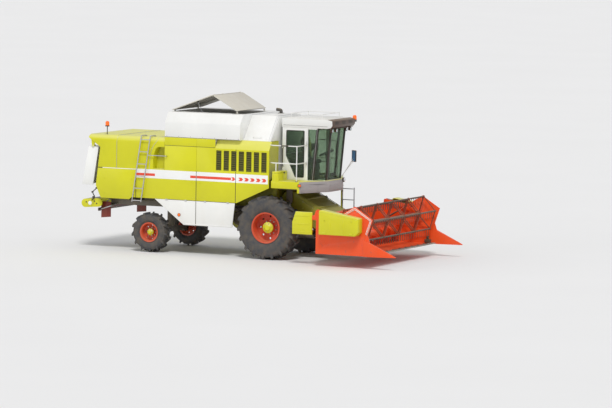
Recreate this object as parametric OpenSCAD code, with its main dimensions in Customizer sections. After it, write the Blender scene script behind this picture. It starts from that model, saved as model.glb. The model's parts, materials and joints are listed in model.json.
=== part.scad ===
// Self-propelled combine harvester with a grain header and a tined reel.
// Working frame: X forward, Y left, Z up, with X = 0 at the front axle and Z = 0 on the ground.
// Each piece is then moved along X so that the origin is the middle of the footprint.

/* [Body] */
// Width of the body over its side panels
body_width = 2800; // [2400:10:3200]
// Thickness of the outer sheet panels with their folded edges
panel_thick = 25; // [10:1:40]
// Gap between neighbouring panels
seam = 6; // [2:1:12]
// Height of the lower edge of the side panels
panel_low = 1515; // [1450:5:1600]
// Height of the lower edge of the grain tank's white side
tank_low = 3250; // [3150:5:3350]
// Height of the flat top of the straw hood
hood_top = 3230; // [3150:5:3300]
// Radius of the straw hood's upper edges
hood_round = 160; // [60:10:220]
// Lower edge of the hinged side skirts
skirt_low = 825; // [700:5:1000]
// Distance from the front axle back to the grain tank's rear wall
tank_rear = 3180; // [2900:10:3300]
// Distance from the front axle back to the grain tank's front wall
tank_front = 860; // [700:10:1000]
// Height of the grain tank's top
tank_top = 3950; // [3850:10:4050]
// Width of the threshing housing between the wheels
core_width = 1560; // [1300:10:1600]
// Thickness of the housing sheets
sheet = 14; // [6:1:25]

/* [Wheels] */
// Distance between the axles
wheelbase = 3650; // [3400:10:3900]
// Diameter of the driven front tyre over its lugs
front_tyre_d = 1760; // [1600:10:1850]
// Width of the front tyre
front_tyre_w = 620; // [450:10:640]
// Distance from the middle of the machine to the middle of a front tyre
front_track_half = 1210; // [1200:5:1300]
// Diameter of the steered rear tyre over its lugs
rear_tyre_d = 1120; // [950:10:1200]
// Width of the rear tyre
rear_tyre_w = 410; // [300:10:450]
// Distance from the middle of the machine to the middle of a rear tyre
rear_track_half = 1200; // [1190:5:1280]
// Height of a tyre's lugs
lug_height = 40; // [20:1:60]
// Radius of the front rim's bead seat
front_rim_r = 406; // [380:1:430]
// Radius of the rear rim's bead seat
rear_rim_r = 254; // [240:1:280]

/* [Cab] */
// Width of the cab over its doors
cab_width = 1480; // [1300:10:1500]
// Height of the cab floor's upper face
cab_floor = 2200; // [2190:5:2250]
// Height of the roof's lower face
roof_low = 3640; // [3560:10:3700]
// Height of the roof's upper face
roof_top = 3890; // [3800:10:3950]
// Thickness of the cab's walls and doors
cab_wall = 40; // [30:1:60]
// Thickness of the glass
glass = 8; // [4:1:12]
// Forward lean of the windscreen in degrees
screen_lean = 5; // [0:1:7]

/* [Platform] */
// Width of the driver's platform
deck_width = 2900; // [2800:10:3000]
// Height of the platform's walking surface
deck_top = 2190; // [2150:5:2190]
// Height of the guard rail above the walking surface
rail_height = 990; // [900:10:1100]
// Diameter of the guard rail tube
rail_d = 34; // [25:1:45]

/* [Header] */
// Width of the header over its end plates
header_width = 4600; // [4000:10:5000]
// Height of the header pan's underside with the header raised
pan_low = 345; // [300:5:400]
// Radius of the header auger over its flighting
auger_r = 250; // [200:5:255]
// Radius of the header auger's tube
auger_tube_r = 130; // [80:5:150]
// Radius of the circle that the reel's bars stand on
reel_bar_r = 530; // [450:5:540]
// Number of bars round the reel
reel_bars = 6; // [4:1:8]
// Distance between tines along a bar
tine_pitch = 150; // [100:10:250]
// Length of a tine
tine_length = 170; // [100:5:180]
// Distance between the knife's fingers
finger_pitch = 76; // [60:1:110]

/* [Unloading tube] */
// Radius of the unloading tube
unload_r = 170; // [120:5:180]
// Length of the unloading tube from its swivel
unload_length = 4300; // [3500:50:4500]

/* [Hidden] */
$fn = 48;

half_body = body_width / 2;
half_core = core_width / 2;
half_cab = cab_width / 2;
half_deck = deck_width / 2;
half_header = header_width / 2;
rear_axle_x = -wheelbase;
// Running clearance of a pin in its bore, and gap of pieces that only rest on each other
fit = 0.05;
rest_gap = 0.3;

// Ends of the machine, and the shift that brings the footprint's middle to the origin
divider_tip = 4300;
rear_end = -5850;
middle_x = (divider_tip + rear_end) / 2;

// Colours
lime = [0.80, 0.80, 0.12];
white = [0.93, 0.93, 0.90];
red = [0.90, 0.25, 0.07];
dark = [0.16, 0.16, 0.17];
grey = [0.55, 0.55, 0.55];
rubber = [0.20, 0.20, 0.21];

// General shapes

module box(low, high) {
    translate(low) cube(high - low);
}

// Prism with an outline in X and Z, between two places along Y
module side_prism(outline, y_low, y_high) {
    translate([0, y_high, 0]) rotate([90, 0, 0]) linear_extrude(y_high - y_low) polygon(outline);
}

// Prism with an outline in Y and Z, between two places along X
module cross_prism(outline, x_low, x_high) {
    translate([x_low, 0, 0]) rotate([90, 0, 90]) linear_extrude(x_high - x_low) polygon(outline);
}

// Prism with an outline in X and Y, between two heights
module plan_prism(outline, z_low, z_high) {
    translate([0, 0, z_low]) linear_extrude(z_high - z_low) polygon(outline);
}

// Round bar between two points
module rod(start, end, d) {
    span = end - start;
    translate(start)
        rotate([0, acos(span[2] / norm(span)), atan2(span[1], span[0])])
            cylinder(h = norm(span), d = d);
}

// Bar along Y at one place in X and Z
module shaft(x, z, y_low, y_high, r) {
    translate([x, y_high, z]) rotate([90, 0, 0]) cylinder(h = y_high - y_low, r = r);
}

module both_sides() {
    children();
    mirror([0, 1, 0]) children();
}

// Side +1 is the left of the machine, side -1 the right
module on_side(side) {
    if (side > 0) children();
    else mirror([0, 1, 0]) children();
}

module seated() {
    translate([-middle_x, 0, 0]) children();
}

// Frame below the housing

rail_low = 1250;
rail_high = 1400;
rail_wide = 80;
rail_rear = -5120;
front_axle_z = front_tyre_d / 2;
rear_axle_z = rear_tyre_d / 2;
axle_tube_r = 110;
// Feeder pivot and the arms in front of the housing that hold it and the platform
feeder_x = 350;
feeder_z = 1600;
feeder_half = 625;
feeder_pin_r = 40;
arm_in = 660;
arm_out = 740;
arm_low = 1900;
deck_low = 1990;
deck_rear = 140;
deck_front = 970;
// Lift cylinder feet on the axle
lift_x = 200;
lift_z = 620;
lift_y = 420;
lift_pin_r = 25;
// Panels stand on outriggers: place along X and height of each pair, the last one on the rails
outrigger_feet = [[-4300, 1640], [-2650, 1560], [-1350, 1560], [-2650, 2240], [-1350, 2240], [-300, 2080]];
rear_outrigger = [-4980, 1560];
outrigger_size = 60;

module chassis() {
    color(grey) {
        // Side rails along the foot of the housing
        both_sides() {
            box([rail_rear, half_core, rail_low], [150, half_core + rail_wide, rail_high]);
            // Upright and arm behind the housing
            box([rear_outrigger[0], half_core, rail_high],
                [rear_outrigger[0] + outrigger_size, half_core + rail_wide, rear_outrigger[1]]);
            outrigger(rear_outrigger);
            // Arms that hold the platform and the feeder pivot
            box([housing_front, arm_in, arm_low], [deck_front, arm_out, deck_low]);
            box([feeder_x - 90, arm_in, feeder_z], [feeder_x + 90, arm_in + 40, arm_low]);
            shaft(feeder_x, feeder_z, arm_in, arm_in + 40, 90);
            shaft(feeder_x, feeder_z, feeder_half - 30, arm_in, feeder_pin_r - fit);
        }
        // Cross members at the rear and over the rear axle
        for (x = [rail_rear, rear_axle_x - 100])
            box([x, -half_core, rail_low], [x + 200, half_core, rail_high - 60]);
        // Rear axle's hanger
        box([rear_axle_x - 60, -120, rear_axle_z + 85 + rest_gap], [rear_axle_x + 60, 120, rail_low]);
        // Bearers on the housing under the tank and the engine
        for (bearer = [[-3100, hopper_low], [-1900, hopper_low], [engine_rear + 40, engine_low],
                       [engine_front - 120, engine_low]])
            box([bearer[0], -half_core, housing_top], [bearer[0] + 80, half_core, bearer[1] - rest_gap]);
    }
}

module outrigger(foot) {
    box([foot[0], half_core, foot[1]],
        [foot[0] + outrigger_size, half_body - panel_thick, foot[1] + outrigger_size]);
}

module outriggers() {
    color(grey) both_sides() for (foot = outrigger_feet) outrigger(foot);
}

// Threshing housing: a closed sheet box between the wheels, open at the top under the tank

housing_front = 10;
housing_top = 2300;
housing_outline = [
    [housing_front, housing_top], [housing_front, 1120], [-700, 1080], [-1300, 1000], [-3250, 1330],
    [-4600, 1700], [-4600, housing_top]
];
fan_x = -1080;
fan_z = 1060;
fan_r = 330;

module thresher_housing() {
    color(lime * 0.8) difference() {
        union() {
            side_prism(housing_outline, -half_core, half_core);
            shaft(fan_x, fan_z, -half_core, half_core, fan_r);
        }
        translate([0, 0, sheet])
            side_prism([for (p = housing_outline) [max(sheet - 4600, min(p[0], housing_front - sheet)),
                p[1] + (p[1] == housing_top ? 50 : 0)]],
                sheet - half_core, half_core - sheet);
        shaft(fan_x, fan_z, sheet - half_core, half_core - sheet, fan_r - sheet);
    }
}

// Axles

king_y = 900;
king_r = 30;
boss_r = 62;
boss_half = 80;
front_stub_r = 60;
rear_stub_r = 45;
stub_face = 875;
front_hub_out = front_track_half + 90;
rear_hub_out = rear_track_half + 70;

module axles() {
    color(dark) {
        // Front axle tube with a final drive housing at each end
        shaft(0, front_axle_z, -half_core, half_core, axle_tube_r);
        both_sides() {
            box([-150, half_core, front_axle_z - 190], [150, half_core + rail_wide, rail_low - rest_gap]);
            shaft(0, front_axle_z, half_core, stub_face, 140);
            shaft(0, front_axle_z, stub_face - 10, front_hub_out, front_stub_r - fit);
            // Ears that hold the feet of the lift cylinders
            for (y = [lift_y - 60, lift_y + 40])
                difference() {
                    side_prism([[-60, front_axle_z], [lift_x + 20, lift_z + 60], [lift_x + 50, lift_z],
                        [lift_x, lift_z - 50], [-60, front_axle_z - 160]], y, y + 20);
                    shaft(lift_x, lift_z, y - 1, y + 21, lift_pin_r);
                }
        }
        // Rear axle beam, hung in the middle
        difference() {
            union() {
                cross_prism([[-king_y, rear_axle_z - 70], [king_y, rear_axle_z - 70],
                    [king_y, rear_axle_z + 30], [300, rear_axle_z + 85], [-300, rear_axle_z + 85],
                    [-king_y, rear_axle_z + 30]],
                    rear_axle_x - 60, rear_axle_x + 60);
                for (side = [-1, 1])
                    translate([rear_axle_x, side * king_y, rear_axle_z - boss_half])
                        cylinder(h = 2 * boss_half, r = boss_r);
            }
            for (side = [-1, 1])
                translate([rear_axle_x, side * king_y, rear_axle_z - boss_half - 1])
                    cylinder(h = 2 * boss_half + 2, r = king_r);
        }
    }
}

module knuckle(side) {
    color(dark) on_side(side) translate([rear_axle_x, 0, rear_axle_z]) {
        translate([0, king_y, -boss_half - 45]) cylinder(h = 2 * boss_half + 90, r = king_r - fit);
        for (z = [-boss_half - 41, boss_half + 1]) {
            translate([0, king_y, z]) cylinder(h = 40, r = boss_r);
            box([-50, king_y, z], [50, king_y + boss_r + 40, z + 40]);
        }
        box([-50, king_y + boss_r + 6, -boss_half - 41], [50, king_y + boss_r + 40, boss_half + 41]);
        shaft(0, 0, king_y + boss_r + 30, rear_hub_out, rear_stub_r - fit);
        // Steering arm
        box([-260, king_y - 30, -boss_half - 41], [0, king_y + 30, -boss_half - 11]);
    }
}

// Wheels: a rim is turned round Y, with its profile as radius and place across the wheel

module wheel_turn(outline) {
    rotate([90, 0, 0]) rotate_extrude($fn = 64) polygon(outline);
}

// Tyre as one ring of rows across it, with the lugs of each half drawn out as a chevron.
// Each lug takes four stations: place as a share of the pitch, and whether the lug stands there
lug_stations = [[0, 0], [0.05, 1], [0.27, 1], [0.32, 0]];
bead_clear = 2;
bead_inset = 6;
lug_sweep = 0.55;

module tyre(r, w, rim_r, lugs) {
    n = 4 * lugs;
    pitch = 360 / lugs;
    crown = r - lug_height;
    half = w / 2;
    // The flat steps between stations dip under the bead's circle
    bead_r = (rim_r + bead_clear) / cos(pitch * 0.34);
    bead = rim_half(w) - bead_inset;
    sweep = lug_sweep * half / r * 180 / PI;
    // Place across, radius between the lugs, radius on a lug, sweep back in degrees
    half_rows = [
        [8, crown, crown, 0], [12, crown, r, 0], [half * 0.9, crown - 12, r - 14, sweep],
        [half * 0.985, rim_r + (crown - rim_r) * 0.72, rim_r + (crown - rim_r) * 0.76, sweep * 1.1],
        [bead, bead_r, bead_r, sweep * 1.1], [half * 0.72, crown - 45, crown - 45, sweep * 1.1]
    ];
    last = len(half_rows) - 1;
    // The right half follows from the inside out to its middle, half a pitch behind the left one
    rows = concat([for (row = half_rows) concat(row, 0)],
        [for (j = [last : -1 : 0]) let (row = half_rows[j]) [-row[0], row[1], row[2], row[3], 0.5]]);
    points = [for (row = rows, k = [0 : n - 1])
        let (station = lug_stations[k % 4],
             turn = (floor(k / 4) + station[0] + row[4]) * pitch - row[3],
             reach = station[1] > 0 ? row[2] : row[1])
            [reach * sin(turn), row[0], reach * cos(turn)]];
    // Where a strip joins the two halves, the stations are met two further on or back
    faces = [for (j = [0 : len(rows) - 1], k = [0 : n - 1], second = [0, 1])
        let (skip = j == last ? n - 2 : j == len(rows) - 1 ? 2 : 0,
             a = j * n + k, b = j * n + (k + 1) % n,
             c = ((j + 1) % len(rows)) * n + (k + skip) % n,
             d = ((j + 1) % len(rows)) * n + (k + 1 + skip) % n)
            second == 0 ? [a, b, d] : [a, d, c]];
    polyhedron(points, faces);
}

function rim_half(w) = 0.39 * w;

module front_tyre(side) {
    color(rubber) translate([0, side * front_track_half, front_axle_z])
        tyre(front_tyre_d / 2, front_tyre_w, front_rim_r, 18);
}

module rear_tyre(side) {
    color(rubber) translate([rear_axle_x, side * rear_track_half, rear_axle_z])
        tyre(rear_tyre_d / 2, rear_tyre_w, rear_rim_r, 13);
}

// Rim with its two flanges, dished disc and hub
module rim(r, half, dish, hub_r, bore_r, hub_in, hub_out) {
    t = 14;
    difference() {
        wheel_turn([[bore_r, hub_in], [hub_r, hub_in], [hub_r, dish - 30], [r * 0.55, dish - 60],
            [r - t, -half * 0.3], [r - t, -half - t / 2], [r + 24, -half - t], [r + 24, -half],
            [r, -half], [r, half], [r + 24, half], [r + 24, half + t], [r - t, half + t / 2],
            [r - t, -half * 0.3 + 2 * t],
            [r * 0.55, dish - 60 + 2 * t], [hub_r, dish], [hub_r, hub_out], [bore_r, hub_out]]);
        for (i = [0 : 7])
            rotate([0, i * 45, 0]) translate([0, 0, r * 0.75]) rotate([90, 0, 0])
                cylinder(h = 3 * half, r = r * 0.07, center = true);
    }
}

module front_rim(side) {
    color(red) on_side(side) translate([0, front_track_half, front_axle_z])
        mirror([0, 1, 0]) rim(front_rim_r, rim_half(front_tyre_w), -40, 150, front_stub_r,
            stub_face + 2 - front_track_half, 110);
}

module rear_rim(side) {
    color(red) on_side(side) translate([rear_axle_x, rear_track_half, rear_axle_z])
        mirror([0, 1, 0]) rim(rear_rim_r, rim_half(rear_tyre_w), -20, 90, rear_stub_r,
            king_y + boss_r + 42 - rear_track_half, 90);
}

engine_rear = -760;
engine_front = -120;
engine_half = 550;
engine_low = 2335;
engine_high = 3150;

module engine() {
    color(dark) box([engine_rear, -engine_half, engine_low], [engine_front, engine_half, engine_high]);
}

// Straw hood: an inverted trough with rounded upper edges and a sloped rear end

trim_z = 2300;
hood_seam_x = -4680;
hood_side = [
    [seam / 2 - 3190, hood_top + 1], [-5560, hood_top + 1], [-5580, hood_top - 90], [-5200, 2880],
    [-5270, trim_z], [seam / 2 - 3190, trim_z]
];

niche_front = seam / 2 - 3190;
niche_low = 2345;
niche_depth = 260;
niche_side = [
    [niche_front, 2960], [-3380, 2960], [-3450, 2910], [-3500, 2800], [-3530, 2620], [-3540, niche_low],
    [niche_front, niche_low]
];

module hood_section(inset) {
    half = half_body - inset;
    top = hood_top - inset;
    r = hood_round - inset;
    translate([-half, trim_z - 10]) square([2 * half, top - r - trim_z + 10]);
    translate([r - half, trim_z - 10]) square([2 * (half - r), top - trim_z + 10]);
    for (side = [-1, 1]) translate([side * (half - r), top - r]) circle(r);
}

module straw_hood() {
    color(lime) difference() {
        intersection() {
            side_prism(hood_side, -half_body - 1, half_body + 1);
            translate([-5700, 0, 0]) rotate([90, 0, 90]) linear_extrude(2600) hood_section(0);
        }
        translate([-5750, 0, 0]) rotate([90, 0, 90]) linear_extrude(2700) hood_section(panel_thick);
        box([hood_seam_x, -half_body - 1, trim_z - 1], [hood_seam_x + seam, half_body + 1, hood_top + 2]);
        side_prism(niche_side, -half_body - 1, panel_thick + 1 - half_body);
    }
    // Open niche in the front right corner
    color(lime) difference() {
        side_prism([for (p = niche_side) [p[0] == niche_front ? p[0] : p[0] - sheet,
            p[1] + (p[1] > 2700 ? sheet : p[1] < 2400 ? -sheet : 0)]],
            2 - half_body, niche_depth + sheet - half_body);
        side_prism([for (p = niche_side) [p[0] == niche_front ? p[0] + 1 : p[0], p[1]]],
            -half_body, niche_depth - half_body);
    }
    // Ears that hold the tail flap's hinge pins
    color(lime) both_sides() difference() {
        side_prism([[flap_hinge[0] - 60, 3120], [flap_hinge[0] + 60, 3120],
            [flap_hinge[0] + 35, flap_hinge[1] - 30], [flap_hinge[0] - 35, flap_hinge[1] - 30]],
            half_body - panel_thick - 20, half_body - panel_thick + 5);
        shaft(flap_hinge[0], flap_hinge[1], half_body - panel_thick - 21, half_body, flap_pin_r);
    }
}

// Side panels with the wheel arch, the seams and the cooling slots

grille_rear = -1615;
grille_pitch = 231;
grille_slot = 160;
grille_low = 2400;
grille_high = 2950;
chamfer_low = 3000;
grille_slats = 9;
bay_wall_x = 10;
panel_side = [
    [-5170, 1455], [-4270, 1455], [-4200, panel_low], [-940, panel_low], [-230, 1845], [50, 1975],
    [40, chamfer_low], [grille_rear, chamfer_low], [grille_rear, tank_low - rest_gap],
    [-tank_rear, tank_low - rest_gap], [-tank_rear, trim_z - rest_gap], [-5270, trim_z - rest_gap],
    [-5330, 1800]
];
panel_seams = [-4068, -2188, -973];

module side_panels() {
    color(lime) both_sides() {
        difference() {
            side_prism(panel_side, half_body - panel_thick, half_body);
            for (x = panel_seams)
                box([x, half_body - panel_thick - 1, 1400], [x + seam, half_body + 1, 3300]);
            for (i = [0 : 6])
                box([grille_rear + 40 + i * grille_pitch, half_body - panel_thick - 1, grille_low],
                    [grille_rear + 40 + i * grille_pitch + grille_slot, half_body + 1, grille_high]);
            // Groove below the upper strip
            box([-tank_rear - 1, half_body - 5, chamfer_low + 16],
                [grille_rear + 1, half_body + 1, chamfer_low + 23]);
        }
        // Leaned slats across the slots
        for (i = [0 : grille_slats - 1])
            let (z = grille_low + (i + 0.5) * (grille_high - grille_low) / grille_slats)
                cross_prism([[half_body - panel_thick + 2, z + 8], [half_body - panel_thick + 2, z + 14],
                    [half_body - 3, z - 8], [half_body - 3, z - 14]], grille_rear + 30,
                    grille_rear + 50 + 6 * grille_pitch + grille_slot);
        // Front wall of the engine bay beside the cab
        cross_prism([[half_core, arm_low + 300], [half_body - panel_thick, arm_low + 300],
            [half_body - panel_thick, chamfer_low], [half_body - 170 - panel_thick, tank_low - rest_gap],
            [half_core, tank_low - rest_gap]], bay_wall_x, bay_wall_x + panel_thick);
        // Sloped strip above the slots
        cross_prism([[half_body, chamfer_low], [half_body - 170, tank_low - rest_gap],
            [half_body - 170 - panel_thick, tank_low - rest_gap], [half_body - panel_thick, chamfer_low]],
            grille_rear, 40);
    }
}

// White skirts below the side panels, ahead of the rear wheels

skirt_side = [[-3470, panel_low - seam], [-985, panel_low - seam], [-1060, skirt_low], [-2560, skirt_low]];

module skirt_panels() {
    color(white) both_sides() {
        difference() {
            side_prism(skirt_side, half_body - panel_thick, half_body);
            box([-2188, half_body - panel_thick - 1, 700], [seam - 2188, half_body + 1, 1600]);
        }
        // Brackets that hang the skirts from the outriggers
        for (x = [-2650, -1350])
            box([x, half_body - panel_thick - 40, 1200],
                [x + outrigger_size, half_body - panel_thick, 1560]);
    }
}

// Grain tank: hollow, with a hopper floor and an open mouth under the lids

tank_chamfer_z = 3670;
tank_chamfer_y = 200;
hopper_z = 2950;
hopper_low = 2330;
hopper_half = 350;
mouth = [[-3100, -1000], [-tank_front - 60, 640]];
tank_inset = panel_thick + 5;

function tank_section(inset, top) = [
    [-hopper_half, hopper_low + inset], [hopper_half, hopper_low + inset],
    [half_body - tank_inset - inset, hopper_z + inset], [half_body - tank_inset - inset, tank_low],
    [half_body - inset, tank_low], [half_body - inset, tank_chamfer_z - inset * 0.4],
    [half_body - tank_chamfer_y - inset * 0.4, top], [tank_chamfer_y + inset * 0.4 - half_body, top],
    [inset - half_body, tank_chamfer_z - inset * 0.4], [inset - half_body, tank_low],
    [tank_inset + inset - half_body, tank_low], [tank_inset + inset - half_body, hopper_z + inset]
];

hopper_front = -1640;

module tank_form(inset, top) {
    intersection() {
        cross_prism(tank_section(inset, top), inset - tank_rear, -tank_front - inset);
        // The hopper stops short of the engine bay, below the tank's floor
        side_prism([[-tank_rear, hopper_low], [hopper_front - inset, hopper_low],
            [hopper_front - inset, tank_low + inset], [-tank_front, tank_low + inset],
            [-tank_front, tank_top], [-tank_rear, tank_top]], -half_body, half_body);
    }
}

module grain_tank() {
    color(white) {
        difference() {
            tank_form(0, tank_top);
            tank_form(panel_thick, tank_top - panel_thick);
            box([mouth[0][0], mouth[0][1], tank_top - 100], [mouth[1][0], mouth[1][1], tank_top + 1]);
        }
        // Ears and pins of the rear lid's hinge
        for (y = lid_hinge_y) {
            for (side = [-1, 1])
                side_prism([[lid_hinge[0] - 30, tank_top], [lid_hinge[0] - 14, lid_hinge[1] + 14],
                    [lid_hinge[0] + 14, lid_hinge[1] + 14], [lid_hinge[0] + 30, tank_top]],
                    y + side * 45 - 5, y + side * 45 + 5);
            shaft(lid_hinge[0], lid_hinge[1], y - 45, y + 45, lid_pin_r - fit);
        }
    }
}

// White hood over the engine, between the tank and the cab

hood_ridge_half = 690;
hood_foot_half = half_body - 170;
engine_hood_top = 3930;

module engine_hood() {
    foot = tank_low;
    color(white) difference() {
        cross_prism([[-hood_foot_half, foot], [-hood_ridge_half, engine_hood_top],
            [hood_ridge_half, engine_hood_top], [hood_foot_half, foot]], rest_gap - tank_front, 0);
        cross_prism([[30 - hood_foot_half, foot - 1], [15 - hood_ridge_half, engine_hood_top - panel_thick],
            [hood_ridge_half - 15, engine_hood_top - panel_thick], [hood_foot_half - 30, foot - 1]],
            -tank_front - 1, -panel_thick);
    }
    // Front wall of the engine bay below the hood
    color(white) box([-panel_thick, -half_core, housing_top + rest_gap], [0, half_core, tank_low + 1]);
}

// Folding lids of the tank, set half open as a tent

lid_hinge = [-3140, 3985];
lid_ridge = [-1860, 4455];
lid_front_edge = [-1110, 4040];
lid_y = [-1100, 740];
lid_thick = 24;
lid_pin_r = 8;
lid_eye_r = 16;
lid_hinge_y = [lid_y[0] + 200, lid_y[1] - 200];
lid_ridge_y = [lid_y[0] + 80, lid_y[0] + 600, lid_y[1] - 140];

// Frame of reference with X along the line from one point to the next in X and Z
module along(from, to) {
    translate([from[0], 0, from[1]]) rotate([0, -atan2(to[1] - from[1], to[0] - from[0]), 0]) children();
}

// Lid sheet with its edges folded down all round, and a rib along each third
module folded_sheet(low, high) {
    difference() {
        box([low[0], low[1], -lid_thick / 2], [high[0], high[1], lid_thick / 2]);
        for (i = [0 : 2])
            let (step = (high[1] - low[1] - 12) / 3, y = low[1] + 12 + i * step)
                box([low[0] + 70, y, -lid_thick / 2 - 1], [high[0] - 70, y + step - 12, lid_thick / 2 - 8]);
    }
}

module tank_lid_rear() {
    length = norm(lid_ridge - lid_hinge);
    color(grey) along(lid_hinge, lid_ridge) difference() {
        union() {
            folded_sheet([30, lid_y[0]], [length - 30, lid_y[1]]);
            for (y = lid_hinge_y) {
                shaft(0, 0, y - 35, y + 35, lid_eye_r);
                box([0, y - 35, -8], [60, y + 35, 8]);
            }
            // Knuckles that carry the ridge pin
            for (y = lid_ridge_y) {
                shaft(length, 0, y - 20, y + 20, lid_eye_r);
                box([length - 60, y - 20, -8], [length, y + 20, 8]);
            }
            shaft(length, 0, lid_y[0] + 60, lid_y[1] - 60, lid_pin_r - fit);
        }
        for (y = lid_hinge_y) shaft(0, 0, y - 36, y + 36, lid_pin_r);
    }
}

module tank_lid_front() {
    length = norm(lid_front_edge - lid_ridge);
    color(grey) {
        along(lid_ridge, lid_front_edge) difference() {
            union() {
                folded_sheet([30, lid_y[0]], [length, lid_y[1]]);
                for (y = lid_ridge_y) {
                    shaft(0, 0, y + 26, y + 56, lid_eye_r);
                    box([0, y + 26, -8], [60, y + 56, 8]);
                }
            }
            for (y = lid_ridge_y) shaft(0, 0, y + 25, y + 57, lid_pin_r);
        }
        // Legs with small rollers that run on the tank's top beside its mouth
        for (y = [lid_y[0] + 50, lid_y[1] - 50]) {
            box([lid_front_edge[0] - 25, y - 12, tank_top + 36],
                [lid_front_edge[0] - 8, y + 12, lid_front_edge[1] + 3]);
            shaft(lid_front_edge[0] - 16, tank_top + 36, y - 16, y + 16, 22);
        }
    }
}

// Cab

cab_rear = 130;
cab_post = 860;
cab_side_front = 1060;
cab_corner_half = 460;
cab_nose = 1370;
door_low = cab_floor + 25;
door_high = roof_low - 40;
door_rear = cab_rear + 75;
door_front = cab_post - 20;
door_gap = 6;

cab_plan = [
    [cab_rear, -half_cab], [cab_side_front, -half_cab], [cab_nose, -cab_corner_half],
    [cab_nose, cab_corner_half], [cab_side_front, half_cab], [cab_rear, half_cab]
];

module screen_leaned() {
    translate([0, 0, cab_floor]) rotate([0, screen_lean, 0]) translate([0, 0, -cab_floor]) children();
}

module cab_shell() {
    color(white) {
        // Floor
        plan_prism(cab_plan, deck_top + rest_gap, cab_floor);
        // Rear wall with its window
        difference() {
            box([cab_rear, -half_cab, cab_floor], [cab_rear + cab_wall, half_cab, roof_low - rest_gap]);
            box([cab_rear - 1, -half_cab + 150, cab_floor + 700],
                [cab_rear + cab_wall + 1, half_cab - 150, roof_low - 120]);
        }
        both_sides() {
            // Rear corner post, mid post, and the sill and header over the door
            box([cab_rear, half_cab - cab_wall, cab_floor],
                [door_rear - door_gap, half_cab, roof_low - rest_gap]);
            box([cab_post - 14, half_cab - cab_wall, cab_floor],
                [cab_post + 46, half_cab, roof_low - rest_gap]);
            box([cab_rear, half_cab - cab_wall, door_high + door_gap],
                [cab_side_front + 100, half_cab, roof_low - rest_gap]);
        }
    }
    // Door hinge: leaves on the mid post above and below each knuckle, with the pin
    color(white) for (z = door_hinge_z) {
        for (leaf = [z - 22, z + door_hinge_h + 2])
            box([door_hinge[0] - 12, half_cab - 1, leaf],
                [door_hinge[0] + 40, door_hinge[1] + 12, leaf + 20]);
        translate([door_hinge[0], door_hinge[1], z - 10])
            cylinder(h = door_hinge_h + 20, r = door_pin_r - fit);
    }
    // Dark front pillars, leaned with the windscreen
    color(dark) intersection() {
        screen_leaned() both_sides() {
            plan_prism([[cab_nose, cab_corner_half - 25], [cab_nose, cab_corner_half + 10],
                [cab_nose - 30, cab_corner_half + 34], [cab_nose - 50, cab_corner_half - 5],
                [cab_nose - 50, cab_corner_half - 25]], cab_floor - 50, roof_low + 100);
            plan_prism([[cab_side_front, half_cab], [cab_side_front + 30, half_cab - 25],
                [cab_side_front + 10, half_cab - cab_wall - 10], [cab_side_front - 30, half_cab - cab_wall],
                [cab_side_front - 30, half_cab]], cab_floor - 50, roof_low + 100);
        }
        box([0, -half_cab, cab_floor], [2000, half_cab, roof_low - rest_gap]);
    }
}

module cab_glass() {
    color([0.35, 0.5, 0.4, 0.5]) {
        intersection() {
            screen_leaned() {
                // Windscreen and the two corner panes
                box([cab_nose - 30, 25 - cab_corner_half, cab_floor - 50],
                    [cab_nose - 30 + glass, cab_corner_half - 25, roof_low + 100]);
                both_sides()
                    plan_prism([[cab_nose - 34, cab_corner_half + 36], [cab_side_front + 32, half_cab - 28],
                        [cab_side_front + 26, half_cab - 36], [cab_nose - 40, cab_corner_half + 30]],
                        cab_floor - 50, roof_low + 100);
            }
            box([0, -half_cab, cab_floor], [2000, half_cab, roof_low - rest_gap]);
        }
        // Rear window
        box([cab_rear + 10, 150 - half_cab, cab_floor + 700],
            [cab_rear + 10 + glass, half_cab - 150, roof_low - 120]);
        // Right side window
        mirror([0, 1, 0]) side_prism(door_window, half_cab - 26, half_cab - 26 + glass);
        // Narrow side panes between the mid post and the front pillar
        both_sides()
            side_prism([[cab_post + 46, cab_floor], [cab_side_front - 30, cab_floor],
                [cab_side_front - 30 + (door_high - cab_floor) * tan(screen_lean), door_high],
                [cab_post + 46, door_high]], half_cab - 26, half_cab - 26 + glass);
    }
}

roof_half = 750;

roof_rear = 70;
roof_front = 1500;
roof_corner = 90;

module cab_roof() {
    color(white) {
        difference() {
            union() {
                box([roof_rear + roof_corner, -roof_half, roof_low], [roof_front, roof_half, roof_top]);
                box([roof_rear, roof_corner - roof_half, roof_low],
                    [roof_rear + roof_corner + 1, roof_half - roof_corner, roof_top]);
                for (side = [-1, 1])
                    translate([roof_rear + roof_corner, side * (roof_half - roof_corner), roof_low])
                        cylinder(h = roof_top - roof_low, r = roof_corner);
            }
            box([110, 40 - roof_half, roof_low - 1], [1460, roof_half - 40, roof_low + 60]);
        }
        // Shallow raised field on top
        box([roof_rear + 150, 150 - roof_half, roof_top - 1],
            [roof_front - 150, roof_half - 150, roof_top + 18]);
    }
    // Work lamps under the visor
    color(dark) for (y = [-600, -330, 330, 600]) {
        box([1535, y - 12, roof_low - 20], [1565, y + 12, roof_low + 20]);
        translate([1520, y, roof_low - 60]) rotate([0, 90, 0]) cylinder(h = 70, r = 48);
    }
    // Dark front fascia with the visor
    color(dark) side_prism([[roof_front, roof_low], [1600, roof_low + 20], [1650, roof_low + 90],
        [1640, roof_top - 30], [roof_front, roof_top]], -roof_half, roof_half);
}

door_frame_w = 45;
door_hinge = [cab_post - 4, half_cab + 18];
door_pin_r = 8;
door_hinge_z = [door_low + 250, door_high - 350];
door_hinge_h = 90;
door_window = [
    [door_rear + door_frame_w, door_low + 640], [door_rear + 330, door_low + door_frame_w],
    [door_front - door_frame_w, door_low + door_frame_w],
    [door_front - door_frame_w, door_high - door_frame_w],
    [door_rear + door_frame_w, door_high - door_frame_w]
];

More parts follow.
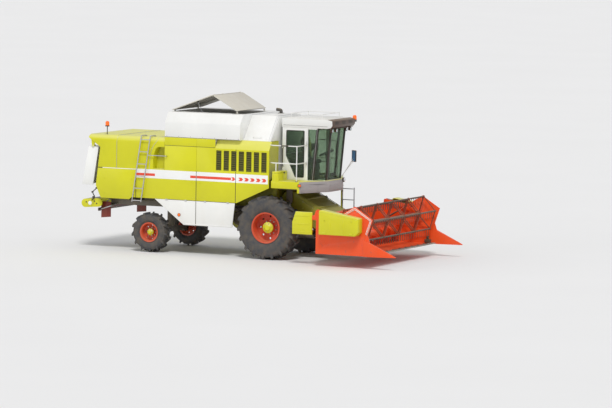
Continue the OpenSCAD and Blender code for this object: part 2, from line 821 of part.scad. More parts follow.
module door() {
    color(white) difference() {
        union() {
            difference() {
                box([door_rear, half_cab - cab_wall, door_low], [door_front, half_cab, door_high]);
                side_prism(door_window, half_cab - cab_wall - 1, half_cab + 1);
            }
            // Hinge leaves and knuckles
            for (z = door_hinge_z) {
                translate([door_hinge[0], door_hinge[1], z]) cylinder(h = door_hinge_h, r = 16);
                box([door_front - 60, half_cab, z], [door_hinge[0], door_hinge[1], z + door_hinge_h]);
            }
        }
        for (z = door_hinge_z)
            translate([door_hinge[0], door_hinge[1], z - 1]) cylinder(h = door_hinge_h + 2, r = door_pin_r);
    }
}

module door_glass() {
    color([0.35, 0.5, 0.4, 0.5]) side_prism(door_window, half_cab - 26, half_cab - 26 + glass);
}

// Fixed window on the right, with the same frame as the door
module side_window() {
    color(white) mirror([0, 1, 0]) difference() {
        box([door_rear - door_gap, half_cab - cab_wall, cab_floor + rest_gap],
            [cab_post - 14, half_cab, door_high + door_gap]);
        side_prism(door_window, half_cab - cab_wall - 1, half_cab + 1);
    }
}

// Seat and controls

seat_x = 480;
cushion_top = cab_floor + 540;

module seat() {
    color(dark) {
        box([seat_x, -230, cab_floor + 420], [seat_x + 450, 230, cushion_top]);
        side_prism([[seat_x, cushion_top + rest_gap], [seat_x + 120, cushion_top + rest_gap],
            [seat_x + 20, cab_floor + 1100], [seat_x - 90, cab_floor + 1100]], -220, 220);
    }
}

module driver_console() {
    color(grey) {
        box([seat_x + 60, -150, cab_floor], [seat_x + 390, 150, cab_floor + 420 - rest_gap]);
        box([seat_x, -520, cab_floor], [seat_x + 450, -290, cab_floor + 620]);
        box([1145, -60, cab_floor], [1255, 60, cab_floor + 18]);
        rod([1200, 0, cab_floor + 10], [1130, 0, cab_floor + 720], 70);
        translate([1130, 0, cab_floor + 720]) rotate([0, -25, 0]) {
            rotate_extrude() translate([200, 0]) circle(14);
            box([-195, -15, -8], [195, 15, 8]);
            cylinder(h = 30, r = 45, center = true);
        }
    }
}

// Driver's platform and the grey beam in front of it

beam_low = 1880;
beam_high = 2110;
beam_thick = 70;
beam_plan = [[1000, 1450], [1300, 750], [1450, 460], [1450, 0]];

module platform() {
    color(lime) {
        difference() {
            box([deck_rear, -half_deck, deck_low], [deck_front, half_deck, deck_top]);
            box([deck_rear + 20, 20 - half_deck, deck_low - 1],
                [deck_front - 20, half_deck - 20, deck_top - 20]);
        }
        plan_prism([[deck_front, -half_deck], [beam_plan[0][0] - 5, -half_deck],
            [beam_plan[1][0] - 5, -beam_plan[1][1]], [beam_plan[2][0] - 5, -beam_plan[2][1]],
            [beam_plan[2][0] - 5, beam_plan[2][1]], [beam_plan[1][0] - 5, beam_plan[1][1]],
            [beam_plan[0][0] - 5, half_deck], [deck_front, half_deck]], beam_high, deck_top);
        // Box on the right end of the platform
        box([170, -half_deck, deck_top], [350, -860, deck_top + 260]);
    }
    color(grey) both_sides()
        plan_prism(concat(beam_plan, [[beam_plan[3][0] - beam_thick, 0],
            [beam_plan[2][0] - beam_thick, 430], [beam_plan[1][0] - beam_thick, 700],
            [beam_plan[0][0] - beam_thick, half_deck]]), beam_low, beam_high);
}

// White guard rails, and the left mirror on its arms

rail_x_rear = 210;
rail_x_front = 780;
rail_y = 1400;
near_rail_y = -1380;
post_x = cab_post + 16;
roof_frame = [[300, -560], [1250, -560], [1250, 560], [300, 560]];
roof_frame_z = roof_top + 130;
mirror_at = [1390, 1300, 2770];

// Bent tube through points, with a knuckle in each inner corner
module pipe(points, d) {
    for (i = [1 : len(points) - 1]) rod(points[i - 1], points[i], d);
    for (i = [1 : len(points) - 2]) translate(points[i]) sphere(d = d + 5);
}

module handrails() {
    rail_z = deck_top + rail_height;
    color(white) {
        // Right side: from the engine bay's wall round to the cab's mid post
        for (z = [rail_z - rail_d / 2, deck_top + 490])
            pipe([[bay_wall_x + panel_thick + rest_gap, -1300, z], [150, near_rail_y, z],
                [post_x, near_rail_y, z], [post_x, -half_cab - rest_gap, z]], rail_d - 4);
        rod([post_x, near_rail_y, deck_top], [post_x, near_rail_y, rail_z - rail_d / 2], rail_d - 4);
        rod([rail_x_rear + 40, near_rail_y, deck_top + 260],
            [rail_x_rear + 40, near_rail_y, deck_top + 490], rail_d - 6);
        // Left side, up to the ladder
        pipe([[rail_x_rear, rail_y, deck_top], [rail_x_rear, rail_y, rail_z],
            [rail_x_front, rail_y, rail_z], [rail_x_front, rail_y, deck_top]], rail_d);
        rod([rail_x_rear, rail_y, deck_top + 490], [rail_x_front, rail_y, deck_top + 490],
            rail_d - 6);
        // Low frame on the cab's roof
        for (i = [0 : 3])
            let (p = roof_frame[i], q = roof_frame[(i + 1) % 4])
                pipe([[p[0], p[1], roof_top + 18], [p[0], p[1], roof_frame_z],
                    [q[0], q[1], roof_frame_z]], 22);
    }
    color(dark) {
        // Place of each arm's foot, and how far below the mirror's middle the arm ends
        for (arm = [[1080, 1150, 110], [995, 1400, 30]]) {
            box([arm[0] - 20, arm[1] - 25, deck_top], [arm[0] + 20, arm[1] + 25, deck_top + 16]);
            rod([arm[0], arm[1], deck_top + 10], mirror_at - [0, 0, arm[2]], 18, $fn = 12);
        }
        // The mirror is turned to face the driver
        translate(mirror_at) rotate([0, 0, -28]) box([-85, -14, -160], [85, 14, 160]);
    }
}

// Ladders: rear one on the right side, access one at the front left

module ladder(x_low, x_high, y, z_low, z_high, rungs, lean) {
    for (x = [x_low, x_high]) rod([x, y, z_low], [x + lean, y, z_high], 32);
    for (i = [0 : rungs - 1])
        let (z = z_low + 40 + i * (z_high - z_low - 80) / (rungs - 1),
             dx = lean * (z - z_low) / (z_high - z_low))
            rod([x_low + dx, y, z], [x_high + dx, y, z], 26);
}

rear_ladder_x = [-4150, -3870];
rear_ladder_y = -half_body - 60;
rear_ladder_lean = 260;

module ladders() {
    color("silver") {
        // Rear ladder, held off the side panel by two stays
        ladder(rear_ladder_x[0], rear_ladder_x[1], rear_ladder_y, 1400, 3190, 6, rear_ladder_lean);
        for (x = rear_ladder_x) {
            rod([x + 29, -half_body, 1600], [x + 29, rear_ladder_y, 1600], 26);
            // The tops bend over and stand on the hood
            pipe([[x + rear_ladder_lean - 2, rear_ladder_y, 3170],
                [x + rear_ladder_lean, rear_ladder_y + 20, hood_top + 25],
                [x + rear_ladder_lean, 260 - half_body, hood_top + 25]], 28);
            box([x + rear_ladder_lean - 30, 230 - half_body, hood_top + rest_gap],
                [x + rear_ladder_lean + 30, 280 - half_body, hood_top + 18]);
        }
        // Handrail that runs on ahead of the ladder
        pipe([[rear_ladder_x[1] + 190, rear_ladder_y, 2720], [-3100, rear_ladder_y, 2720],
            [-3100, -half_body, 2720]], 24);
        // Access ladder at the left end of the platform
        ladder(1015, 1370, half_deck - 60, 560, beam_low - rest_gap, 5, 0);
        for (i = [0 : 4])
            box([1015, half_deck - 120, 600 + i * 310 - 8], [1370, half_deck - 2, 600 + i * 310 + 8]);
    }
    color(lime) box([975, half_deck - 90, 500], [1000, half_deck, beam_low - rest_gap]);
}

// Feeder house: a sheet channel from the housing down to the header, round about its pivot

feeder_r = 270;
feeder_front = 1880;
feeder_mouth = [440, 1080];
feeder_side = [
    [feeder_x + 60, feeder_z + feeder_r - 5], [feeder_front, feeder_mouth[1]],
    [feeder_front, feeder_mouth[0]], [feeder_x - 60, feeder_z - feeder_r + 5]
];

lift_eye = [1450, 620];

// Height of the feeder house's upper side at a place along X
function feeder_back_z(x) = feeder_mouth[1] + (feeder_side[0][1] - feeder_mouth[1])
    * (feeder_front - x) / (feeder_front - feeder_side[0][0]);

module feeder_house() {
    color(lime * 0.7) difference() {
        union() {
            side_prism(feeder_side, -feeder_half, feeder_half);
            shaft(feeder_x, feeder_z, -feeder_half, feeder_half, feeder_r);
            // Ribs across its back, and the cover of the drive on the right side
            for (x = [800, 1200, 1600])
                let (z = feeder_back_z(x))
                    side_prism([[x, z - 10], [x + 40, z - 30], [x + 40, z + 12], [x, z + 32]],
                        -feeder_half, feeder_half);
            side_prism([for (p = [[700, -80], [1750, -80], [1750, -300], [700, -300]])
                [p[0], feeder_back_z(p[0]) + p[1]]], -feeder_half - 28, 1 - feeder_half);
            // Lugs for the lift cylinder rods
            both_sides() for (y = [lift_y - 65, lift_y + 45])
                side_prism([[lift_eye[0] - 90, 745], [lift_eye[0] + 90, 645],
                    [lift_eye[0] + 45, lift_eye[1] - 40], [lift_eye[0] - 45, lift_eye[1] - 40]], y, y + 20);
        }
        side_prism([[feeder_x + 60, feeder_z + feeder_r - 5 - 2 * sheet],
            [feeder_front + 1, feeder_mouth[1] - 2 * sheet],
            [feeder_front + 1, feeder_mouth[0] + 2 * sheet],
            [feeder_x - 60, feeder_z - feeder_r + 5 + 2 * sheet]], 20 - feeder_half, feeder_half - 20);
        shaft(feeder_x, feeder_z, 20 - feeder_half, feeder_half - 20, feeder_r - sheet);
        shaft(feeder_x, feeder_z, -feeder_half - 1, feeder_half + 1, feeder_pin_r);
    }
    color(dark) both_sides() shaft(lift_eye[0], lift_eye[1], lift_y - 60, lift_y + 60, lift_eye_pin_r);
}

// Header table with its trough, back wall, top beam, end plates and dividers

auger_x = 2200;
auger_z = pan_low + sheet + 20 + auger_r;
trough_r = auger_r + 20;
table_back = auger_x - trough_r - sheet;
knife_x = 3420;
end_thick = 30;
table_top = 1380;
reel_x = 3020;
reel_z = 1170;
arm_pivot = [1960, 1500];
shaft_r = 30;

end_plate = [
    [table_back, pan_low], [table_back, table_top], [2660, 1430], [3060, 1684], [3600, 1350], [3460, 930],
    [knife_x + 160, 560], [knife_x + 120, pan_low]
];

module table_section(r) {
    // Trough arc under the auger and the flat pan up to the knife
    translate([auger_x, auger_z]) circle(r);
    polygon([[auger_x, auger_z - r], [knife_x, pan_low + (trough_r + sheet - r)], [knife_x, 2000],
        [auger_x, 2000]]);
    translate([auger_x - r, auger_z]) square([r + 10, 2000 - auger_z]);
}

table_rib_pitch = 400;
table_rib = 12;

module header_table() {
    half = half_header;
    color(red) {
        difference() {
            translate([0, half - end_thick, 0]) rotate([90, 0, 0])
                linear_extrude(2 * (half - end_thick)) difference() {
                    table_section(trough_r + sheet);
                    table_section(trough_r);
                    translate([0, table_top]) square([6000, 2000]);
                    translate([knife_x - 1, 0]) square([500, 3000]);
                }
            // Mouth into the feeder house
            box([table_back - 1, 40 - feeder_half, feeder_mouth[0] + 50],
                [auger_x - 60, feeder_half - 40, feeder_mouth[1] - 50]);
        }
        // Ribs behind the back wall
        for (i = [3 : -1 : 0]) both_sides()
            box([table_back - 40, half - (i + 0.5) * table_rib_pitch, auger_z],
                [table_back + 1, half - (i + 0.5) * table_rib_pitch + table_rib, table_top - 119]);
        // Top beam along the back wall
        box([table_back - 120, -half, table_top - 120], [table_back, half, table_top]);
        // End plates with the auger's bores, and the crop dividers ahead of them
        both_sides() {
            difference() {
                side_prism(end_plate, half - end_thick, half);
                shaft(auger_x, auger_z, half - end_thick - 1, half + 1, shaft_r);
                shaft(reel_foot[0], reel_foot[1], half - end_thick - 1, half + 1, 12);
            }
            hull() {
                side_prism([[knife_x - 60, pan_low], [knife_x - 60, 800], [knife_x + 160, 620],
                    [knife_x + 160, pan_low]], half - end_thick, half + 70);
                side_prism([[divider_tip - 40, pan_low + 10], [divider_tip - 60, pan_low + 60],
                    [divider_tip, pan_low + 30], [divider_tip, pan_low + 10]], half - 20, half + 20);
            }
            // Pivot ear of the reel arm on the top beam
            difference() {
                side_prism([[table_back - 60, table_top - 10], [arm_pivot[0] - 50, arm_pivot[1] + 20],
                    [arm_pivot[0], arm_pivot[1] + 50], [arm_pivot[0] + 50, arm_pivot[1] + 20],
                    [table_back + 160, table_top - 60], [table_back, table_top - 60]],
                    half - end_thick, half);
                shaft(arm_pivot[0], arm_pivot[1], half - end_thick - 1, half + 1, 20);
            }
        }
    }
    // Frame that bolts the table to the feeder house
    color(red) difference() {
        box([feeder_front + rest_gap, -feeder_half - 60, feeder_mouth[0] - 60],
            [table_back, feeder_half + 60, feeder_mouth[1] + 60]);
        box([feeder_front, 20 - feeder_half, feeder_mouth[0] + 28],
            [table_back + 1, feeder_half - 20, feeder_mouth[1] - 28]);
    }
}

// Cutter bar: one comb of fingers over the whole width

knife_thick = 22;

module cutter_bar() {
    half = half_header - end_thick - 1;
    count = floor(2 * half / finger_pitch);
    start = -count * finger_pitch / 2;
    // Knife of pointed blades that lies on the fingers
    color("silver") plan_prism(concat([[knife_x - 40, start + count * finger_pitch], [knife_x - 40, start]],
        [for (i = [0 : count - 1], p = [[10, 2], [80, 36], [80, 40], [10, 74]])
            [knife_x + p[0], start + i * finger_pitch + p[1]]]),
        pan_low + sheet + knife_thick - 1, pan_low + sheet + knife_thick + 4);
    color(dark) plan_prism(concat(
        [[knife_x - 60, half], [knife_x - 60, -half], [knife_x + 20, -half]],
        [for (i = [0 : count - 1], p = [[20, 14], [110, 34], [110, 42], [20, 62]])
            [knife_x + p[0], start + i * finger_pitch + p[1]]],
        [[knife_x + 20, half]]), pan_low + sheet + rest_gap, pan_low + sheet + knife_thick);
}

// Header auger: tube with two flights that carry the crop to the middle

flight_pitch = 520;
flight_steps = 14;
flight_thick = 10;

// Helicoid from the tube out to the flight's edge, one ring of four points a step
module flight(length, hand) {
    count = round(length / flight_pitch * flight_steps);
    root = auger_tube_r - 15;
    rings = [for (i = [0 : count], p = [[root, -1], [auger_r, -1], [auger_r, 1], [root, 1]])
        let (turn = hand * i * 360 / flight_steps)
            [p[0] * cos(turn), p[0] * sin(turn), i * length / count + p[1] * flight_thick / 2]];
    sides = [for (i = [0 : count - 1], k = [0 : 3], half = [0, 1])
        let (a = 4 * i + k, b = 4 * i + (k + 1) % 4)
            half == 0 ? [a, b, a + 4] : [b, b + 4, a + 4]];
    polyhedron(rings, concat([[3, 2, 1], [3, 1, 0]], sides,
        [[4 * count, 4 * count + 1, 4 * count + 2], [4 * count, 4 * count + 2, 4 * count + 3]]));
}

module header_auger() {
    half = half_header - end_thick - 10;
    flight_length = half - 600;
    color(red) translate([auger_x, 0, auger_z]) rotate([-90, 0, 0]) {
        difference() {
            cylinder(h = 2 * half, r = auger_tube_r, center = true);
            cylinder(h = 2 * half - 40, r = auger_tube_r - sheet, center = true);
        }
        // Fingers in the middle, in rows round the tube
        for (i = [0 : 11])
            rotate([0, 0, i * 75]) translate([auger_tube_r - 8, 0, (i - 5.5) * 95]) rotate([0, 90, 0])
                cylinder(h = auger_r - auger_tube_r + 4, r = 9);
        for (end = [0, 1]) mirror([0, 0, end]) {
            translate([0, 0, half - 1]) cylinder(h = end_thick + 11, r = shaft_r - fit);
            translate([0, 0, half - 20 - flight_length]) flight(flight_length, 1);
        }
    }
}

// Reel: six tine bars on spiders about a middle tube

reel_half = half_header - 180;
reel_arm_in = half_header - end_thick - 75;
reel_arm_thick = 40;
reel_tube_r = 55;
reel_pin_r = 25;
reel_turn = 13;

function bar_angle(i) = reel_turn + i * 360 / reel_bars;

module spider_section() {
    difference() {
        union() {
            circle(reel_tube_r + 40);
            for (i = [0 : reel_bars - 1]) rotate(bar_angle(i)) {
                translate([0, -18]) square([reel_bar_r, 36]);
                translate([reel_bar_r, 0]) circle(32);
                // Edge strap to the next bar
                translate([reel_bar_r, 0]) rotate(90 + 180 / reel_bars) translate([0, -14])
                    square([2 * reel_bar_r * sin(180 / reel_bars), 28]);
            }
        }
        circle(reel_tube_r - 5);
    }
}

// Tines of one bar as one comb that hangs straight down
module tine_comb(half) {
    count = floor((2 * half - 60) / tine_pitch);
    start = -count * tine_pitch / 2;
    cross_prism(concat([[half, 0], [half, 14], [-half, 14], [-half, 0]],
        [for (i = [0 : count], p = [[-5, 0], [-5, -tine_length], [5, -tine_length], [5, 0]])
            [start + i * tine_pitch + p[0], p[1]]]), -4, 4);
}

module reel() {
    color(red) translate([reel_x, 0, reel_z]) {
        shaft(0, 0, -reel_half, reel_half, reel_tube_r);
        shaft(0, 0, -reel_arm_in - reel_arm_thick, reel_arm_in + reel_arm_thick, reel_pin_r - fit);
        for (k = [-2 : 2])
            translate([0, k * (reel_half - 6) / 2 + 6, 0]) rotate([90, 0, 0])
                linear_extrude(12) spider_section();
        for (i = [0 : reel_bars - 1])
            translate([reel_bar_r * cos(bar_angle(i)), 0, reel_bar_r * sin(bar_angle(i))]) {
                shaft(0, 0, -reel_half, reel_half, 20);
                translate([0, 0, -22]) tine_comb(reel_half - 10);
            }
    }
}

reel_eye = [2560, 1330];
reel_eye_pin_r = 10;
reel_eye_gap = 4;
reel_foot = [2010, 1010];

module reel_arms() {
    color(red) both_sides() difference() {
        union() {
            side_prism([[arm_pivot[0], arm_pivot[1] + 40], [2560, 1440], [reel_x, reel_z + 50],
                [reel_x + 50, reel_z], [reel_x, reel_z - 50], [2560, 1300],
                [arm_pivot[0], arm_pivot[1] - 40]],
                reel_arm_in, reel_arm_in + reel_arm_thick);
            shaft(arm_pivot[0], arm_pivot[1], reel_arm_in, reel_arm_in + reel_arm_thick, 40);
            shaft(arm_pivot[0], arm_pivot[1], reel_arm_in, half_header - 5, 20 - fit);
            shaft(reel_eye[0], reel_eye[1], reel_cyl_y - 16, reel_arm_in + 1, reel_eye_pin_r);
        }
        shaft(reel_x, reel_z, reel_arm_in - 1, reel_arm_in + reel_arm_thick + 1, reel_pin_r);
    }
}

// Covers over the header's end drives

guard_out = 2590;

module drive_guards() {
    color(lime) {
        both_sides() difference() {
            side_prism([[2130, 900], [2130, 1540], [2180, 1570], [3230, 1400], [3300, 1375], [3300, 1000],
                [3200, 900]], half_header + rest_gap, guard_out);
            side_prism([[2150, 920], [2150, 1530], [2185, 1550], [3225, 1381], [3280, 1360], [3280, 1010],
                [3190, 920]], half_header, guard_out - 20);
        }
        side_prism([[1200, 850], [1200, 1180], [1300, 1466], [table_back - 120 - rest_gap, 1466],
            [table_back - 120 - rest_gap, 850]], -half_header, -half_header + 60);
    }
}

// Lift cylinders under the feeder house, and the reel's two cylinders

lift_length = lift_eye[0] - lift_x;
lift_barrel = 780;
lift_eye_pin_r = 18;
lift_eye_gap = 12;

module lift_barrels() {
    color(dark) both_sides() translate([lift_x, lift_y, lift_z]) {
        difference() {
            union() {
                translate([75, 0, 0]) rotate([0, 90, 0]) cylinder(h = lift_barrel - 75, r = 55);
                rotate([0, 90, 0]) cylinder(h = 80, r = 36);
                shaft(0, 0, -38, 38, 46);
            }
            translate([110, 0, 0]) rotate([0, 90, 0]) cylinder(h = lift_barrel, r = 32);
        }
        shaft(0, 0, -59, 59, lift_pin_r - fit);
    }
}

module lift_rods() {
    color("silver") both_sides() translate([lift_x, lift_y, lift_z]) difference() {
        union() {
            translate([450, 0, 0]) rotate([0, 90, 0]) cylinder(h = lift_length - 450 - 35, r = 32 - fit);
            shaft(lift_length, 0, -38, 38, 44);
        }
        shaft(lift_length, 0, -39, 39, lift_eye_pin_r + lift_eye_gap);
    }
}

reel_stay = reel_eye - reel_foot;
reel_stay_length = norm(reel_stay);
reel_stay_angle = atan2(reel_stay[1], reel_stay[0]);
reel_cyl_y = reel_arm_in - 35;

module along_reel_stay() {
    translate([reel_foot[0], reel_cyl_y, reel_foot[1]]) rotate([0, -reel_stay_angle, 0]) children();
}

module reel_barrels() {
    color(dark) both_sides() along_reel_stay() difference() {
        union() {
            rotate([0, 90, 0]) cylinder(h = 420, r = 22);
            shaft(0, 0, -24, 24, 26);
            shaft(0, 0, -24, half_header - reel_cyl_y, 12 - fit);
        }
        translate([40, 0, 0]) rotate([0, 90, 0]) cylinder(h = 400, r = 13);
    }
}

module reel_rods() {
    color("silver") both_sides() along_reel_stay() difference() {
        union() {
            translate([220, 0, 0]) rotate([0, 90, 0])
                cylinder(h = reel_stay_length - 240, r = 13 - fit);
            shaft(reel_stay_length, 0, -14, 14, 26);
        }
        shaft(reel_stay_length, 0, -15, 15, reel_eye_pin_r + reel_eye_gap);
    }
}

// Unloading tube on its swivel at the left of the tank

unload_x = -640;
unload_y = half_body + 220;
unload_z = 3000;
unload_bend = 210;
unload_wall = 10;
spout_bend = 330;
spout_angle = 50;
swivel_z = unload_z - unload_bend;
swivel_foot = 2480;
saddle_x = -4480;
unload_flanges = [-900, -2700];

module unload_pivot() {
    color(lime) {
        translate([unload_x, unload_y, swivel_foot]) cylinder(h = swivel_z - swivel_foot, r = unload_r);
        // Stub out of the side panel
        translate([unload_x, half_body + rest_gap, 2630]) rotate([-90, 0, 0])
            cylinder(h = unload_y - half_body - rest_gap, r = 140);
        // Saddle for the stored tube on the hood's side
        cross_prism([[half_body + rest_gap, 2700], [unload_y + 120, 2780], [unload_y + 120, 2810],
            [half_body + rest_gap, 2810]], saddle_x, saddle_x + 60);
        cross_prism([[unload_y - 60, 2800], [unload_y + 60, 2800],
            [unload_y + 60, unload_z - unload_r - rest_gap],
            [unload_y - 60, unload_z - unload_r - rest_gap]], saddle_x, saddle_x + 60);
    }
}

module unload_bore(r, past) {
    // Quarter bend up from the swivel, then the straight run to the rear
    translate([unload_x - unload_bend, unload_y, swivel_z]) rotate([90, 0, 0])
        rotate_extrude(angle = 90) translate([unload_bend, 0]) circle(r);
    translate([unload_x - unload_bend + past, unload_y, unload_z]) rotate([0, -90, 0])
        cylinder(h = unload_length - unload_bend + past, r = r);
}

module unload_tube() {
    color(lime) difference() {
        union() {
            translate([0, 0, rest_gap]) unload_bore(unload_r, 0);
            // Flanges where the tube's lengths meet
            for (x = unload_flanges)
                translate([x, unload_y, unload_z + rest_gap]) rotate([0, 90, 0])
                    cylinder(h = 24, r = unload_r + 25);
        }
        translate([unload_x - unload_bend, unload_y, unload_z + rest_gap]) rotate([0, -90, 0])
            translate([0, 0, 40]) cylinder(h = unload_length, r = unload_r - unload_wall);
    }
    // Rubber spout that turns the grain down
    color(dark) translate([unload_x - unload_length, unload_y, unload_z + rest_gap - spout_bend])
        rotate([-90, 0, 0]) rotate([0, 0, -90 - spout_angle]) rotate_extrude(angle = spout_angle)
            translate([spout_bend, 0]) difference() {
                circle(unload_r + 8);
                circle(unload_r - unload_wall - 2);
            }
}

// Tail flap: a shallow white box, hinged under the end of the hood

flap_hinge = [-5440, 2915];
flap_side = [[-5600, 2880], [-5285, 2880], [-5450, 1800], [-5795, 1800]];
flap_pin_r = 16;
flap_half = half_body - 60;

module tail_flap() {
    color(white) difference() {
        union() {
            side_prism(flap_side, -flap_half, flap_half);
            both_sides() {
                shaft(flap_hinge[0], flap_hinge[1], flap_half - 90, half_body - panel_thick,
                    flap_pin_r - fit);
                box([flap_hinge[0] - 30, flap_half - 80, 2870],
                    [flap_hinge[0] + 30, flap_half - 20, flap_hinge[1]]);
            }
        }
        side_prism([[-5575, 2855], [-5200, 2855], [-5380, 1700], [-5755, 1825]], panel_thick - flap_half,
            flap_half - panel_thick);
    }
}

// Straw chopper's spreader below the tail, on the ends of the rails

spreader_rear = rear_end + 120;
spreader_front = rail_rear - 200;
spreader_r = 120;
spreader_y = 1220;
spreader_rear_z = 1270;
spreader_front_z = 1300;

module chopper() {
    color(lime) both_sides()
        translate([0, spreader_y + 30, 0]) rotate([90, 0, 0]) linear_extrude(30) {
            translate([spreader_rear, spreader_rear_z]) circle(spreader_r);
            translate([spreader_front, spreader_front_z]) circle(spreader_r);
            polygon([for (p = [[spreader_rear, spreader_rear_z, 1], [spreader_front, spreader_front_z, 1],
                [spreader_front, spreader_front_z, -1], [spreader_rear, spreader_rear_z, -1]])
                    [p[0], p[1] + p[2] * spreader_r]]);
        }
    color(dark) {
        side_prism([[spreader_rear - 10, spreader_rear_z + spreader_r],
            [spreader_front + 10, rail_high + 20], [-4990, rail_high + 20],
            [-4990, rail_high + rest_gap], [spreader_front + 10, rail_high + rest_gap],
            [spreader_rear - 10, rail_high - 30]], -spreader_y, spreader_y);
        // Vanes that spread the straw
        both_sides() for (y = [150, 450, 750, 1020])
            side_prism([[spreader_rear + 10, spreader_rear_z + 110], [spreader_front, rail_high + 5],
                [spreader_front, rail_high - 190], [spreader_rear + 80, spreader_rear_z - 90]], y, y + 8);
    }
}

// Tow bracket at the rear, hung under the rails

tow_front = rail_rear + 120;
tow_plate_rear = rail_rear - 180;
tow_plate_y = 1080;
tow_x = rail_rear - 220;

module hitch() {
    color([0.45, 0.05, 0.05]) {
        both_sides() side_prism([[tow_plate_rear, 870], [tow_front, 900], [tow_front, rail_high - 70],
            [tow_plate_rear, rail_high - 70]], tow_plate_y, tow_plate_y + 20);
        box([rail_rear, -tow_plate_y, rail_low - 80], [tow_front, tow_plate_y, rail_low - rest_gap]);
        difference() {
            box([tow_x - 60, -60, rail_low - 75], [rail_rear + 20, 60, rail_low - 35]);
            translate([tow_x, 0, 1000]) cylinder(h = 400, r = tow_pin_r);
        }
    }
    color(grey) box([tow_plate_rear - 20, -tow_plate_y - 20, 1080],
        [tow_plate_rear, tow_plate_y + 20, 1140]);
}

tow_pin_r = 16;

// Lamps and beacons

module lamps() {
    color([1, 0.55, 0.1]) {
        for (p = [[-5090, -1200, hood_top, 3450], [1600, roof_half + 70, 3790, 3800]]) {
            translate([p[0], p[1], p[2]]) cylinder(h = p[3] - p[2], r = 12);
            translate([p[0], p[1], p[3]]) cylinder(h = 30, r = 60);
            translate([p[0], p[1], p[3] + 30]) cylinder(h = 90, r = 55);
            translate([p[0], p[1], p[3] + 119]) cylinder(h = 30, r1 = 55, r2 = 30);
        }
        box([1540, roof_half + rest_gap, 3770], [1640, roof_half + 130, 3790]);
    }
}

seated() chassis();
seated() outriggers();
seated() thresher_housing();
seated() axles();
seated() knuckle(1);  // knuckle_left
seated() knuckle(-1);  // knuckle_right
seated() front_tyre(1);  // front_tyre_left
seated() front_tyre(-1);  // front_tyre_right
seated() rear_tyre(1);  // rear_tyre_left
seated() rear_tyre(-1);  // rear_tyre_right
seated() front_rim(1);  // front_rim_left
seated() front_rim(-1);  // front_rim_right
seated() rear_rim(1);  // rear_rim_left
seated() rear_rim(-1);  // rear_rim_right
seated() engine();
seated() straw_hood();
seated() side_panels();
seated() skirt_panels();
seated() grain_tank();
seated() engine_hood();
seated() tank_lid_rear();
seated() tank_lid_front();
seated() cab_shell();
seated() cab_roof();
seated() cab_glass();
seated() door();  // door_left
seated() door_glass();  // door_glass_left
seated() side_window();  // side_window_right
seated() seat();
seated() driver_console();
seated() platform();
seated() handrails();
seated() ladders();
seated() feeder_house();
seated() header_table();
seated() cutter_bar();
seated() header_auger();
seated() reel_arms();
seated() reel();
seated() drive_guards();
seated() lift_barrels();
seated() lift_rods();
seated() reel_barrels();
seated() reel_rods();
seated() unload_pivot();
seated() unload_tube();
seated() tail_flap();
seated() chopper();
seated() hitch();
seated() lamps();
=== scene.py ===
"""Finishes and small parts for the packed combine harvester, laid out as an add-on and run as a script."""

import json
import math

import bmesh
import bpy
from mathutils import Matrix, Vector


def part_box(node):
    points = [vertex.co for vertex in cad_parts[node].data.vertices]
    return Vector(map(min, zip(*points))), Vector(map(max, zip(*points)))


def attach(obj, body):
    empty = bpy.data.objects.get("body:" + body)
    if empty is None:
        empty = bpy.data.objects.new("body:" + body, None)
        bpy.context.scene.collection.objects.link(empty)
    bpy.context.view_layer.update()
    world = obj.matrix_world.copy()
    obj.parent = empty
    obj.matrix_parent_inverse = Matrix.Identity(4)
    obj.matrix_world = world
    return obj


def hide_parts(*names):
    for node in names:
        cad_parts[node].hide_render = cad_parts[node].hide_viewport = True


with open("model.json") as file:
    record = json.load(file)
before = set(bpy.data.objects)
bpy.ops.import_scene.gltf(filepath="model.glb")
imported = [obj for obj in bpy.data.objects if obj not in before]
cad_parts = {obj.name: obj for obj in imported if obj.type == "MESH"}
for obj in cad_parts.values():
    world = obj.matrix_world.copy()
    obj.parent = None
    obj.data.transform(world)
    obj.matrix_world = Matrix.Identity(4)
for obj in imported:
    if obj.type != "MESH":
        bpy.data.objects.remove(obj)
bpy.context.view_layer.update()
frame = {"nodes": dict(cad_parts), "record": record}

bl_info = {
    "name": "Combine Harvester",
    "version": (1, 0, 0),
    "blender": (4, 5, 0),
    "location": "View3D > Sidebar > Harvester",
    "description": "Dresses the packed harvester with its paint, tyres, lamps and small parts",
    "category": "Object",
}

# Driving sizes, read from the packed nodes. The machine's own frame has X = 0 at the front axle.


def low(node):
    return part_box(node)[0]


def high(node):
    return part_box(node)[1]


def centre(node):
    return (low(node) + high(node)) / 2


AXLE_X = centre("front_rim_left").x
SIDE_Y = high("side_panels").y
SIDES = {"left": 1, "right": -1}
OUTWARD = {1: "Y", -1: "-Y"}
# Where a shape is set: as it is drawn, or with its twin on the other side too
ONCE = (Matrix.Identity(4),)
BOTH = (Matrix.Identity(4), Matrix.Scale(-1, 4, (0, 1, 0)))
# Body and material slot of each packed node
BODY_OF = {node: body for body, nodes in frame["record"]["behaviour"]["bodies"].items() for node in nodes}
SLOT_OF = {row["node"]: row["material_slot"] for row in frame["record"]["subparts"]}
# Axes of the reel and of the auger, and the reel's spiders to each side, in the machine's own frame
REEL_X, REEL_Z = 3.02, 1.17
SPIDERS = (0, 1.057, 2.114)
AUGER_X, AUGER_Z = 2.20, 0.629
TABLE_HALF = 2.30


def span(node):
    """Lowest and highest corner of a node in the machine's own frame."""
    shift = Vector((AXLE_X, 0, 0))
    return low(node) - shift, high(node) - shift


# Finishes


